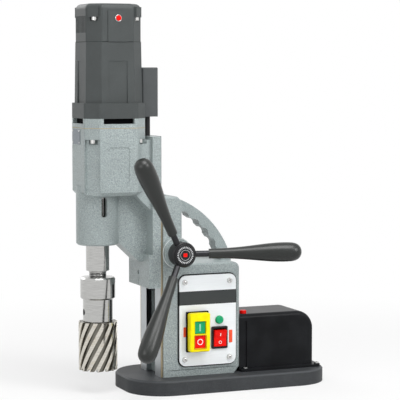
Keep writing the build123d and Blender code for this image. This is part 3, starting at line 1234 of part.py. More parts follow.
NOTCH_TOP = CAP_BOTTOM + CAP_NOTCH_RISE
CAP_PANEL_TOP = MOTOR_TOP - 9.0
OVERLOAD_Z = CAP_BOTTOM + OVERLOAD_RISE
with BuildPart() as motor_cap:
    with BuildSketch(Plane.XY.offset(CAP_BOTTOM)):
        with Locations((MOTOR_X, 0)):
            Polygon(*octagon(CAP_HALF, GEARBOX_CORNER))
    extrude(amount=CAP_HEIGHT)
    fillet(motor_cap.edges().filter_by(Axis.Z), 4.0)
    fillet(motor_cap.edges().group_by(Axis.Z)[-1], CAP_EDGE)
    for corner in range(4):
        turn = radians(45.0 + 90.0 * corner)
        with BuildSketch(Plane.XY.offset(NOTCH_TOP)):
            with Locations(Location((MOTOR_X + 37.0 * cos(turn), 37.0 * sin(turn), 0), 45.0 + 90.0 * corner)):
                Rectangle(13.0, CAP_BOSS_WIDTH)
        extrude(amount=MOTOR_TOP - 4.0 - NOTCH_TOP)
    with BuildSketch(side(-CAP_HALF)):
        with Locations((MOTOR_X, (CAP_BOTTOM + CAP_PANEL_TOP) / 2)):
            Rectangle(CAP_PANEL_WIDTH, CAP_PANEL_TOP - CAP_BOTTOM)
    extrude(amount=CAP_PANEL_PROUD)
    with BuildSketch(Plane.XY.offset(CAP_BOTTOM)):
        with Locations((MOTOR_X, 0)):
            Circle(MOTOR_BORE)
    extrude(amount=CAP_HEIGHT - CAP_TOP_THICK - 4.0, mode=Mode.SUBTRACT)
    for corner in range(4):
        turn = radians(45.0 + 90.0 * corner)
        with BuildSketch(Plane.XY.offset(NOTCH_TOP)):
            with Locations(Location((MOTOR_X + 41.4 * cos(turn), 41.4 * sin(turn), 0), 45.0 + 90.0 * corner)):
                Rectangle(12.0, 10.0)
        extrude(amount=-CAP_NOTCH_HEIGHT, mode=Mode.SUBTRACT)
    with BuildSketch(Plane.XY.offset(CAP_BOTTOM)):
        with Locations((MOTOR_X, 0)):
            with PolarLocations(CAP_SCREW_RADIUS, 4, 45.0):
                Circle(2.0)
    extrude(amount=NOTCH_TOP - CAP_BOTTOM, mode=Mode.SUBTRACT)
    with BuildSketch(Plane.YZ.offset(MOTOR_X)):
        with Locations((0, CAP_BOTTOM + 22.0)):
            with GridLocations(VENT_PITCH, 0, VENT_COUNT, 1):
                Rectangle(VENT_SIZE[0], VENT_SIZE[1])
    extrude(amount=60.0, both=True, mode=Mode.SUBTRACT)
    with BuildSketch(side(-CAP_HALF - CAP_PANEL_PROUD)):
        with Locations((MOTOR_X + 1.0, OVERLOAD_Z)):
            Circle(OVERLOAD_DIA / 2)
    extrude(amount=-2.5, mode=Mode.SUBTRACT)
motor_cap.part.label = "motor_cap"
export_step(motor_cap.part, "parts/motor_cap.step")

with BuildPart() as overload_lamp:
    with BuildSketch(side(-CAP_HALF + 1.6)):
        with Locations((MOTOR_X + 1.0, OVERLOAD_Z)):
            Circle(OVERLOAD_DIA / 2)
    extrude(amount=3.6)
    fillet(overload_lamp.edges().group_by(Axis.Y)[0], 0.9)
overload_lamp.part.label = "overload_lamp"
export_step(overload_lamp.part, "parts/overload_lamp.step")

with BuildPart() as head_screws:
    # gearbox flange screws
    with BuildSketch(Plane.XY.offset(GEARBOX_TOP - FLANGE_DEPTH)):
        with Locations((MOTOR_X, 0)):
            with PolarLocations(SCREW_RADIUS, 4, 45.0):
                Circle(2.0)
    extrude(amount=FLANGE_DEPTH + GASKET_THICK + 8.0)
    with BuildSketch(Plane.XY.offset(GEARBOX_TOP - FLANGE_DEPTH)):
        with Locations((MOTOR_X, 0)):
            with PolarLocations(SCREW_RADIUS + 1.6, 4, 45.0):
                Circle(3.6)
                RegularPolygon(1.5, 6, mode=Mode.SUBTRACT)
    extrude(amount=-4.5)
    # motor cap screws
    with BuildSketch(Plane.XY.offset(CAP_BOTTOM - 19.0)):
        with Locations((MOTOR_X, 0)):
            with PolarLocations(CAP_SCREW_RADIUS, 4, 45.0):
                Circle(2.0)
    extrude(amount=NOTCH_TOP - CAP_BOTTOM + 19.0 - 4.0)
    with BuildSketch(Plane.XY.offset(NOTCH_TOP)):
        with Locations((MOTOR_X, 0)):
            with PolarLocations(CAP_SCREW_RADIUS + 1.8, 4, 45.0):
                Circle(3.6)
    extrude(amount=-4.0)
    # slide clamp screw
    with BuildSketch(Plane.YZ.offset(RAIL_FRONT - LUG_DEPTH + 1.5)):
        with Locations((CLAMP_Y, CLAMP_Z)):
            Circle(3.0)
            RegularPolygon(1.5, 6, mode=Mode.SUBTRACT)
    extrude(amount=8.5)
head_screws.part.label = "head_screws"
export_step(head_screws.part, "parts/head_screws.step")

with BuildPart() as cable_guard:
    with BuildSketch(Plane.XY.offset(GUARD_BOTTOM)):
        with Locations(((GUARD_FRONT + GUARD_REAR) / 2, 0)):
            RectangleRounded(GUARD_REAR - GUARD_FRONT, GUARD_WIDTH, 2.5)
    extrude(amount=GUARD_HEIGHT)
    fillet(cable_guard.edges().group_by(Axis.Z)[-1], 1.5)
    with BuildSketch(Plane.XY.offset(HOUSING_BOTTOM + 6.0)):
        with Locations((GUARD_FRONT, 0)):
            Rectangle(5.8, 18.0)
    extrude(amount=30.0)
cable_guard.part.label = "cable_guard"
export_step(cable_guard.part, "parts/cable_guard.step")

with BuildPart() as guard_tube:
    with BuildSketch(Plane.XY.offset(SLIDE_TOP)):
        with Locations((RAIL_FRONT - 5.0, 0)):
            Circle(GUARD_TUBE_DIA / 2)
            Circle(GUARD_TUBE_DIA / 3, mode=Mode.SUBTRACT)
    extrude(amount=GUARD_BOTTOM - SLIDE_TOP)
guard_tube.part.label = "guard_tube"
export_step(guard_tube.part, "parts/guard_tube.step")

STATOR_BOTTOM = HOUSING_BOTTOM + 4.0
STATOR_HEIGHT = 48.0
with BuildPart() as stator:
    with BuildSketch(Plane.XY.offset(STATOR_BOTTOM)):
        with Locations((MOTOR_X, 0)):
            Circle(MOTOR_BORE)
            Circle(21.0, mode=Mode.SUBTRACT)
    extrude(amount=STATOR_HEIGHT)
stator.part.label = "stator"
export_step(stator.part, "parts/stator.step")

BRIDGE_LEVEL = CAP_BOTTOM - 3.0
with BuildPart() as bearing_bridge:
    with BuildSketch(Plane.XY.offset(BRIDGE_LEVEL)):
        with Locations((MOTOR_X, 0)):
            Circle(MOTOR_BORE)
    extrude(amount=3.0)
    with BuildSketch(Plane.XY.offset(BRIDGE_LEVEL)):
        with Locations((MOTOR_X, 0)):
            Circle(15.0)
    extrude(amount=13.0)
    with BuildSketch(Plane.XY.offset(BRIDGE_LEVEL)):
        with Locations((MOTOR_X - 22.0, 0), (MOTOR_X + 22.0, 0)):
            Rectangle(16.0, 12.0)
    extrude(amount=-16.0)
    with BuildSketch(Plane.XY.offset(BRIDGE_LEVEL - 4.0)):
        with Locations((MOTOR_X - 20.0, 0), (MOTOR_X + 20.0, 0)):
            Rectangle(14.0, 6.0)
    extrude(amount=-9.0, mode=Mode.SUBTRACT)
    with BuildSketch(Plane.XY.offset(BRIDGE_LEVEL + 4.0)):
        with Locations((MOTOR_X, 0)):
            Circle(11.0)
    extrude(amount=9.0, mode=Mode.SUBTRACT)
    with BuildSketch(Plane.XY.offset(BRIDGE_LEVEL)):
        with Locations((MOTOR_X, 0)):
            Circle(ARMATURE_DIA / 2 + 1.0)
    extrude(amount=9.0, mode=Mode.SUBTRACT)
bearing_bridge.part.label = "bearing_bridge"
export_step(bearing_bridge.part, "parts/bearing_bridge.step")

COMMUTATOR_R = 12.6
with BuildPart() as brushes:
    for way in (-1, 1):
        with BuildSketch(Plane.XY.offset(BRIDGE_LEVEL - 13.0)):
            with Locations((MOTOR_X + way * (COMMUTATOR_R + 0.3 + 6.0), 0)):
                Rectangle(12.0, 6.0)
        extrude(amount=9.0)
brushes.part.label = "brushes"
export_step(brushes.part, "parts/brushes.step")

with BuildPart() as bearings:
    # spindle bearings
    for level in (NOSE_BOTTOM + 3.0, GEARBOX_CAVITY - 1.0 - BEARING_WIDTH):
        with BuildSketch(Plane.XY.offset(level)):
            with Locations((SPINDLE_X, 0)):
                Circle(BEARING_OD / 2)
                Circle(SPINDLE_DIA / 2 + FIT_CLEARANCE, mode=Mode.SUBTRACT)
        extrude(amount=BEARING_WIDTH)
    # layshaft bearings
    with BuildSketch(Plane.XY.offset(GEARBOX_CAVITY)):
        with Locations((LAYSHAFT_X, LAYSHAFT_Y)):
            Circle(BUSH_OD / 2)
            Circle(JOURNAL_DIA / 2 + FIT_CLEARANCE, mode=Mode.SUBTRACT)
    extrude(amount=8.0)
    with BuildSketch(Plane.XY.offset(BOSS_BOTTOM)):
        with Locations((LAYSHAFT_X, LAYSHAFT_Y)):
            Circle(BUSH_OD / 2)
            Circle(JOURNAL_DIA / 2 + FIT_CLEARANCE, mode=Mode.SUBTRACT)
    extrude(amount=10.0)
    # armature bearings
    lower_seat = COVER_PLATE_BOTTOM + COVER_FLOOR - 1.0
    for level, outer in ((lower_seat, LOWER_BEARING_R), (BRIDGE_LEVEL + 4.0, 11.0)):
        with BuildSketch(Plane.XY.offset(level)):
            with Locations((MOTOR_X, 0)):
                Circle(outer)
                Circle(ARMATURE_DIA / 2 + FIT_CLEARANCE, mode=Mode.SUBTRACT)
        extrude(amount=8.0)
bearings.part.label = "bearings"
export_step(bearings.part, "parts/bearings.step")

# ================================================================ armature
MOTOR_PINION_BOTTOM = STAGE_LEVEL - 2.0
layshaft_to_motor = toward(LAYSHAFT_X, LAYSHAFT_Y, MOTOR_X, 0)
with BuildPart() as armature_shaft:
    with BuildSketch(Plane.XY.offset(MOTOR_PINION_BOTTOM)):
        with BuildLine():
            Polyline(*gear_points(MOTOR_TEETH, GEAR_MODULE, layshaft_to_motor + 180.0, (MOTOR_X, 0)),
                     close=True)
        make_face()
    extrude(amount=12.0)
    with BuildSketch(Plane.XY.offset(MOTOR_PINION_BOTTOM + 12.0)):
        with Locations((MOTOR_X, 0)):
            Circle(ARMATURE_DIA / 2)
    extrude(amount=BRIDGE_LEVEL + 13.0 - MOTOR_PINION_BOTTOM - 12.0)
armature_shaft.part.label = "armature_shaft"
export_step(armature_shaft.part, "parts/armature_shaft.step")

with BuildPart() as armature_core:
    with BuildSketch(Plane.XY.offset(STATOR_BOTTOM + 2.0)):
        with Locations((MOTOR_X, 0)):
            Circle(20.2)
            with PolarLocations(20.2, 12):
                Rectangle(3.0, 2.2, mode=Mode.SUBTRACT)
            Circle(ARMATURE_DIA / 2, mode=Mode.SUBTRACT)
    extrude(amount=STATOR_HEIGHT - 4.0)
    # commutator
    with BuildSketch(Plane.XY.offset(BRIDGE_LEVEL - 15.0)):
        with Locations((MOTOR_X, 0)):
            Circle(COMMUTATOR_R)
            Circle(ARMATURE_DIA / 2, mode=Mode.SUBTRACT)
    extrude(amount=13.0)
armature_core.part.label = "armature_core"
export_step(armature_core.part, "parts/armature_core.step")

FAN_LEVEL = MOTOR_BOTTOM + 3.0
with BuildPart() as cooling_fan:
    with BuildSketch(Plane.XY.offset(FAN_LEVEL)):
        with Locations((MOTOR_X, 0)):
            Circle(30.0)
            Circle(ARMATURE_DIA / 2, mode=Mode.SUBTRACT)
    extrude(amount=2.0)
    with BuildSketch(Plane.XY.offset(FAN_LEVEL)):
        with Locations((MOTOR_X, 0)):
            with PolarLocations(20.0, 10):
                Rectangle(18.0, 1.6)
            Circle(10.0)
            Circle(ARMATURE_DIA / 2, mode=Mode.SUBTRACT)
    extrude(amount=11.0)
cooling_fan.part.label = "cooling_fan"
export_step(cooling_fan.part, "parts/cooling_fan.step")

# ================================================================ layshaft
layshaft_to_spindle = toward(LAYSHAFT_X, LAYSHAFT_Y, SPINDLE_X, 0)
with BuildPart() as layshaft:
    with BuildSketch(Plane.XY.offset(GEARBOX_CAVITY + 1.0)):
        with Locations((LAYSHAFT_X, LAYSHAFT_Y)):
            Circle(JOURNAL_DIA / 2)
    extrude(amount=UPPER_BUSH_TOP - 1.0 - GEARBOX_CAVITY - 1.0)
    with BuildSketch(Plane.XY.offset(GEARBOX_CAVITY + 8.5)):
        with Locations((LAYSHAFT_X, LAYSHAFT_Y)):
            Circle(JOURNAL_DIA / 2 + 1.0)
    extrude(amount=BOSS_BOTTOM - 0.5 - GEARBOX_CAVITY - 8.5)
    # pinion cut on the shaft
    with BuildSketch(Plane.XY.offset(GEAR_LEVEL)):
        with BuildLine():
            Polyline(*gear_points(LAYSHAFT_SMALL_TEETH, GEAR_MODULE, layshaft_to_spindle,
                                  (LAYSHAFT_X, LAYSHAFT_Y)), close=True)
        make_face()
    extrude(amount=13.0)
layshaft.part.label = "layshaft"
export_step(layshaft.part, "parts/layshaft.step")

with BuildPart() as layshaft_gear:
    with BuildSketch(Plane.XY.offset(STAGE_LEVEL)):
        with BuildLine():
            half_tooth = 180.0 / LAYSHAFT_BIG_TEETH
            Polyline(*gear_points(LAYSHAFT_BIG_TEETH, GEAR_MODULE, layshaft_to_motor + half_tooth,
                                  (LAYSHAFT_X, LAYSHAFT_Y)), close=True)
        make_face()
        with Locations((LAYSHAFT_X, LAYSHAFT_Y)):
            Circle(JOURNAL_DIA / 2 + 1.0, mode=Mode.SUBTRACT)
    extrude(amount=8.0)
layshaft_gear.part.label = "layshaft_gear"
export_step(layshaft_gear.part, "parts/layshaft_gear.step")

# ================================================================ spindle
GEAR_SEAT_DIA = 22.0
SOCKET_LOW = 12.0
SOCKET_HIGH = 10.0
TANG_TOP = DRIFT_BOTTOM + 4.0
SOCKET_TOP = DRIFT_TOP - 4.0
with BuildPart() as spindle:
    with BuildSketch(Plane.XY.offset(SPINDLE_BOTTOM)):
        with Locations((SPINDLE_X, 0)):
            Circle(SPINDLE_DIA / 2)
    extrude(amount=GEAR_LEVEL - 1.0 - SPINDLE_BOTTOM)
    with BuildSketch(Plane.XY.offset(GEAR_LEVEL - 1.0)):
        with Locations((SPINDLE_X, 0)):
            Circle(GEAR_SEAT_DIA / 2)
    extrude(amount=14.5)
    with BuildSketch(side(0)):
        with BuildLine():
            Polyline((SPINDLE_X, SPINDLE_BOTTOM), (SPINDLE_X + SOCKET_LOW, SPINDLE_BOTTOM),
                     (SPINDLE_X + SOCKET_HIGH, TANG_TOP), (SPINDLE_X + SOCKET_HIGH, SOCKET_TOP),
                     (SPINDLE_X, SOCKET_TOP), close=True)
        make_face()
    revolve(axis=Axis((SPINDLE_X, 0, 0), (0, 0, 1)), mode=Mode.SUBTRACT)
    with BuildSketch(side(NOSE_RADIUS)):
        with Locations((SPINDLE_X, (DRIFT_BOTTOM + DRIFT_TOP) / 2)):
            SlotOverall(DRIFT_TOP - DRIFT_BOTTOM, DRIFT_WIDTH, rotation=90)
    extrude(amount=2 * NOSE_RADIUS, mode=Mode.SUBTRACT)
spindle.part.label = "spindle"
export_step(spindle.part, "parts/spindle.step")

with BuildPart() as spindle_gear:
    with BuildSketch(Plane.XY.offset(GEAR_LEVEL)):
        with BuildLine():
            half_tooth = 180.0 / SPINDLE_TEETH
            Polyline(*gear_points(SPINDLE_TEETH, GEAR_MODULE, layshaft_to_spindle + 180.0 + half_tooth,
                                  (SPINDLE_X, 0)), close=True)
        make_face()
        with Locations((SPINDLE_X, 0)):
            Circle(GEAR_SEAT_DIA / 2, mode=Mode.SUBTRACT)
    extrude(amount=12.0)
spindle_gear.part.label = "spindle_gear"
export_step(spindle_gear.part, "parts/spindle_gear.step")

PILOT_BORE = PILOT_DIA / 2 + PILOT_FIT
SHANK_TOP = CUTTER_TOP + SHANK_LENGTH
SPRING_TOP = PILOT_TOP + 19.0
SHANK_FLAT = SHANK_DIA / 2 - 1.0
with BuildPart() as arbor:
    with BuildSketch(side(0)):
        with BuildLine():
            Polyline((SPINDLE_X, CUTTER_TOP), (SPINDLE_X + ARBOR_DIA / 2 - 0.8, CUTTER_TOP),
                     (SPINDLE_X + ARBOR_DIA / 2, CUTTER_TOP + 0.8), (SPINDLE_X + ARBOR_DIA / 2, ARBOR_TOP),
                     (SPINDLE_X + NECK_DIA / 2, ARBOR_TOP + 1.5),
                     (SPINDLE_X + NECK_DIA / 2, SPINDLE_BOTTOM - 3.0),
                     (SPINDLE_X + NECK_DIA / 2 + 1.0, SPINDLE_BOTTOM - 2.0),
                     (SPINDLE_X + NECK_DIA / 2 + 1.0, SPINDLE_BOTTOM - 1.0),
                     (SPINDLE_X + NECK_DIA / 2, SPINDLE_BOTTOM),
                     (SPINDLE_X + SOCKET_LOW, SPINDLE_BOTTOM), (SPINDLE_X + SOCKET_HIGH, TANG_TOP),
                     (SPINDLE_X, TANG_TOP), close=True)
        make_face()
    revolve(axis=Axis((SPINDLE_X, 0, 0), (0, 0, 1)))
    with BuildSketch(Plane.XY.offset(CUTTER_TOP)):
        with Locations((SPINDLE_X, 0)):
            Circle(SHANK_DIA / 2)
    extrude(amount=SHANK_LENGTH, mode=Mode.SUBTRACT)
    with BuildSketch(Plane.XY.offset(CUTTER_TOP)):
        with Locations((SPINDLE_X, 0)):
            Circle(PILOT_BORE)
    extrude(amount=SPRING_TOP - CUTTER_TOP, mode=Mode.SUBTRACT)
    with BuildSketch(Plane.YZ.offset(SPINDLE_X - ARBOR_DIA / 2)):
        with Locations((0, SET_SCREW_Z)):
            Circle(SET_SCREW_DIA / 2)
    extrude(amount=ARBOR_DIA / 2, mode=Mode.SUBTRACT)
    with BuildSketch(side(ARBOR_DIA / 2)):
        with Locations((SPINDLE_X, SET_SCREW_Z)):
            Circle(SET_SCREW_DIA / 2)
    extrude(amount=ARBOR_DIA / 2, mode=Mode.SUBTRACT)
arbor.part.label = "arbor"
export_step(arbor.part, "parts/arbor.step")

with BuildPart() as arbor_collar:
    with BuildSketch(Plane.XY.offset(COLLAR_BOTTOM)):
        with Locations((SPINDLE_X, 0)):
            Circle(COLLAR_DIA / 2)
            Circle(ARBOR_DIA / 2, mode=Mode.SUBTRACT)
    extrude(amount=ARBOR_TOP - COLLAR_BOTTOM)
    chamfer(arbor_collar.edges().filter_by(GeomType.CIRCLE).sort_by(SortBy.RADIUS)[-2:], 1.8)
arbor_collar.part.label = "arbor_collar"
export_step(arbor_collar.part, "parts/arbor_collar.step")

with BuildPart() as set_screws:
    with BuildSketch(Plane.YZ.offset(SPINDLE_X - ARBOR_DIA / 2 + 1.6)):
        with Locations((0, SET_SCREW_Z)):
            Circle(SET_SCREW_DIA / 2)
            RegularPolygon(2.0, 6, mode=Mode.SUBTRACT)
    extrude(amount=ARBOR_DIA / 2 - 1.6 - SHANK_FLAT)
    with BuildSketch(side(ARBOR_DIA / 2 - 1.6)):
        with Locations((SPINDLE_X, SET_SCREW_Z)):
            Circle(SET_SCREW_DIA / 2)
            RegularPolygon(2.0, 6, mode=Mode.SUBTRACT)
    extrude(amount=ARBOR_DIA / 2 - 1.6 - SHANK_FLAT)
set_screws.part.label = "set_screws"
export_step(set_screws.part, "parts/set_screws.step")

FLUTE_TOP = CUTTER_TOP - 0.01
FLUTE_STEPS = 4
CUTTER_R = CUTTER_DIA / 2
with BuildPart() as cutter:
    with BuildSketch(Plane.XY.offset(CUTTER_BOTTOM)):
        with Locations((SPINDLE_X, 0)):
            Circle(CUTTER_R)
            Circle(CUTTER_R - CUTTER_WALL, mode=Mode.SUBTRACT)
    extrude(amount=CUTTER_DEPTH)
    with BuildSketch(Plane.XY.offset(CUTTER_BOTTOM + CUTTER_DEPTH)):
        with Locations((SPINDLE_X, 0)):
            Circle(CUTTER_R)
    extrude(amount=CUTTER_TOP - CUTTER_BOTTOM - CUTTER_DEPTH)
    with BuildSketch(Plane.XY.offset(CUTTER_TOP)):
        with Locations((SPINDLE_X, 0)):
            Circle(SHANK_DIA / 2)
    extrude(amount=SHANK_LENGTH)
    with BuildSketch(Plane.XY.offset(CUTTER_BOTTOM + CUTTER_DEPTH)):
        with Locations((SPINDLE_X, 0)):
            Circle(PILOT_BORE)
    extrude(amount=SHANK_TOP - CUTTER_BOTTOM - CUTTER_DEPTH, mode=Mode.SUBTRACT)
    # flats for the set screws
    with BuildSketch(Plane.XY.offset(SET_SCREW_Z - 5.0)):
        with Locations((SPINDLE_X - SHANK_FLAT - 5.0, 0)):
            Rectangle(10.0, SHANK_DIA)
        with Locations((SPINDLE_X, SHANK_FLAT + 5.0)):
            Rectangle(SHANK_DIA, 10.0)
    extrude(amount=10.0, mode=Mode.SUBTRACT)
    # helical chip flutes, one lofted cut for each tooth
    length = FLUTE_TOP - CUTTER_BOTTOM + 2.0
    twist = degrees(length * tan(radians(CUTTER_LEAN)) / CUTTER_R)
    for tooth in range(CUTTER_TEETH):
        sections = []
        for step in range(FLUTE_STEPS + 1):
            turn = 360.0 * tooth / CUTTER_TEETH + twist * step / FLUTE_STEPS
            level = CUTTER_BOTTOM - 1.0 + length * step / FLUTE_STEPS
            corners = []
            for radial, across in ((CUTTER_R - FLUTE_DEPTH, -0.32), (CUTTER_R + 1.5, -0.5),
                                   (CUTTER_R + 1.5, 0.5), (CUTTER_R - FLUTE_DEPTH, 0.32)):
                angle = radians(turn) + across * FLUTE_WIDTH / CUTTER_R
                corners.append(Vector(SPINDLE_X + radial * cos(angle), radial * sin(angle), level))
            sections.append(Face(Wire.make_polygon(corners, close=True)))
        loft(sections, ruled=True, mode=Mode.SUBTRACT)
    # gullets between the teeth
    for tooth in range(CUTTER_TEETH):
        turn = 360.0 * (tooth + 0.5) / CUTTER_TEETH
        outward = Vector(cos(radians(turn)), sin(radians(turn)), 0)
        along = Vector(-sin(radians(turn)), cos(radians(turn)), 0)
        start = Vector(SPINDLE_X, 0, CUTTER_BOTTOM) + outward * (CUTTER_R - CUTTER_WALL - 1.0)
        with BuildSketch(Plane(origin=start, x_dir=along, z_dir=outward)):
            rise = TOOTH_HEIGHT if outward.cross(along).Z > 0 else -TOOTH_HEIGHT
            Polygon((-TOOTH_GULLET / 2, -rise), (TOOTH_GULLET / 2, -rise), (TOOTH_GULLET / 2, rise),
                    (TOOTH_GULLET / 4, rise), (-TOOTH_GULLET / 2, 0), align=None)
        extrude(amount=CUTTER_WALL + 3.0, mode=Mode.SUBTRACT)
cutter.part.label = "cutter"
export_step(cutter.part, "parts/cutter.step")

with BuildPart() as pilot_spring:
    coil_radius = PILOT_DIA / 2 - 0.7
    with BuildLine():
        Helix(pitch=3.0, height=SPRING_TOP - PILOT_TOP - 2.4, radius=coil_radius,
              center=(SPINDLE_X, 0, PILOT_TOP + 1.2))
    with BuildSketch(Plane(origin=(SPINDLE_X + coil_radius, 0, PILOT_TOP + 1.2), z_dir=(0, 1, 0))):
        Circle(0.45)
    sweep(is_frenet=True)
pilot_spring.part.label = "pilot_spring"
export_step(pilot_spring.part, "parts/pilot_spring.step")

with BuildPart() as pilot_pin:
    with BuildSketch(Plane.XY.offset(PILOT_BOTTOM)):
        with Locations((SPINDLE_X, 0)):
            Circle(PILOT_DIA / 2)
    extrude(amount=PILOT_TOP - PILOT_BOTTOM)
    chamfer(pilot_pin.edges().group_by(Axis.Z)[0], 1.6)
pilot_pin.part.label = "pilot_pin"
export_step(pilot_pin.part, "parts/pilot_pin.step")
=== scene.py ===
"""Looks of a portable drill press on a vacuum base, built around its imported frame.

Sizes are in metres in the frame's own axes: +Z up, the spindle towards -X and the
operator's side towards -Y. The frame's own nodes get their finishes here, and the
small fittings that it leaves out are built in code.
"""
import json
import logging
import math
from dataclasses import dataclass
from enum import Enum
from typing import Any, Iterable, Sequence, Union

import bmesh
import bpy
from mathutils import Matrix, Vector


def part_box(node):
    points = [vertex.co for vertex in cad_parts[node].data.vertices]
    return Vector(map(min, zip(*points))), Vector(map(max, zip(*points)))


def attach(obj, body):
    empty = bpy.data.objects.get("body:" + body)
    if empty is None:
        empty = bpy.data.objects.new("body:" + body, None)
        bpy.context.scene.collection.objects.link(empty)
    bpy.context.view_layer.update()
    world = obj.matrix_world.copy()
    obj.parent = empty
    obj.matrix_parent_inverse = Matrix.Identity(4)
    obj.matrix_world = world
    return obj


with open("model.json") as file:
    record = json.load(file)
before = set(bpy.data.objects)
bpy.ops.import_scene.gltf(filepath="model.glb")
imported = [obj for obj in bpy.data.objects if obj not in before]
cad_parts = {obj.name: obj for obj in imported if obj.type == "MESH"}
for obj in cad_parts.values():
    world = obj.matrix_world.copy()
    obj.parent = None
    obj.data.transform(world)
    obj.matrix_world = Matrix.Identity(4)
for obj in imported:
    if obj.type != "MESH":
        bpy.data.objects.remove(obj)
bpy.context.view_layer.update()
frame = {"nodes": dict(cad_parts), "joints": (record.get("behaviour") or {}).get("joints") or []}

log = logging.getLogger("drill_press")
Number = Union["Wire", float]
Colour = tuple[float, float, float, float]
Point2 = tuple[float, float]


def srgb(red: int, green: int, blue: int) -> Colour:
    """Turns a colour written in 0-255 display values into a linear one.

    Args:
        red: Red, 0 to 255.
        green: Green, 0 to 255.
        blue: Blue, 0 to 255.

    Returns:
        The linear colour with full alpha.
    """
    linear = []
    for level in (red, green, blue):
        share = level / 255
        linear.append(share / 12.92 if share <= 0.04045 else ((share + 0.055) / 1.055) ** 2.4)
    return (linear[0], linear[1], linear[2], 1.0)


def shade(colour: Colour, factor: float) -> Colour:
    """Returns the colour made lighter or darker by a factor."""
    return (colour[0] * factor, colour[1] * factor, colour[2] * factor, 1.0)


# ------------------------------------------------------------------ node wiring


class Wire:
    """A node's output that can be used in Python expressions."""

    def __init__(self, wiring: "Wiring", socket: bpy.types.NodeSocket) -> None:
        """Keeps the output and the wiring it belongs to."""
        self.wiring = wiring
        self.socket = socket

    def _math(self, operation: str, *values: Number) -> "Wire":
        """Adds one Math node.

        Args:
            operation: The Math node's operation.
            values: Its inputs, in order.

        Returns:
            The node's result.
        """
        return self.wiring.node("ShaderNodeMath", {"operation": operation}, dict(enumerate(values)))

    def __add__(self, other: Number) -> "Wire":
        """Returns self + other."""
        return self._math("ADD", self, other)

    def __radd__(self, other: Number) -> "Wire":
        """Returns other + self."""
        return self._math("ADD", other, self)

    def __sub__(self, other: Number) -> "Wire":
        """Returns self - other."""
        return self._math("SUBTRACT", self, other)

    def __rsub__(self, other: Number) -> "Wire":
        """Returns other - self."""
        return self._math("SUBTRACT", other, self)

    def __mul__(self, other: Number) -> "Wire":
        """Returns self * other."""
        return self._math("MULTIPLY", self, other)

    def __rmul__(self, other: Number) -> "Wire":
        """Returns other * self."""
        return self._math("MULTIPLY", other, self)

    def __pow__(self, power: float) -> "Wire":
        """Returns self to a power."""
        return self._math("POWER", self, power)

    def above(self, level: float) -> "Wire":
        """Returns 1 where self is above a level and 0 elsewhere."""
        return self._math("GREATER_THAN", self, level)

    def below(self, level: float) -> "Wire":
        """Returns 1 where self is below a level and 0 elsewhere."""
        return self._math("LESS_THAN", self, level)

    def ramp(self, low: float, high: float) -> "Wire":
        """Returns a smooth step from 0 at low to 1 at high."""
        settings = {"interpolation_type": "SMOOTHSTEP"}
        values = {"Value": self, "From Min": low, "From Max": high}
        return self.wiring.node("ShaderNodeMapRange", settings, values)


class Wiring:
    """One node tree and the single method that adds nodes to it."""

    def __init__(self, tree: bpy.types.NodeTree) -> None:
        """Keeps the tree."""
        self.tree = tree

    def node(self, kind: str, settings: dict[str, Any] | None = None,
             inputs: dict[Any, Any] | None = None, output: str | int = 0) -> Wire:
        """Adds a node, sets it up and feeds its inputs.

        Args:
            kind: The node's type.
            settings: Its settings, which are set first.
            inputs: Values or wires, by the input's name or index.
            output: The output to return.

        Returns:
            The chosen output.
        """
        made = self.tree.nodes.new(kind)
        for name, value in (settings or {}).items():
            setattr(made, name, value)
        for name, value in (inputs or {}).items():
            self.feed(made.inputs[name], value)
        return Wire(self, made.outputs[output])

    def feed(self, socket: bpy.types.NodeSocket, value: Any) -> None:
        """Links a wire to an input, or sets the input's value.

        Args:
            socket: The input.
            value: A wire or a plain value.
        """
        if isinstance(value, Wire):
            self.tree.links.new(value.socket, socket)
        else:
            socket.default_value = value


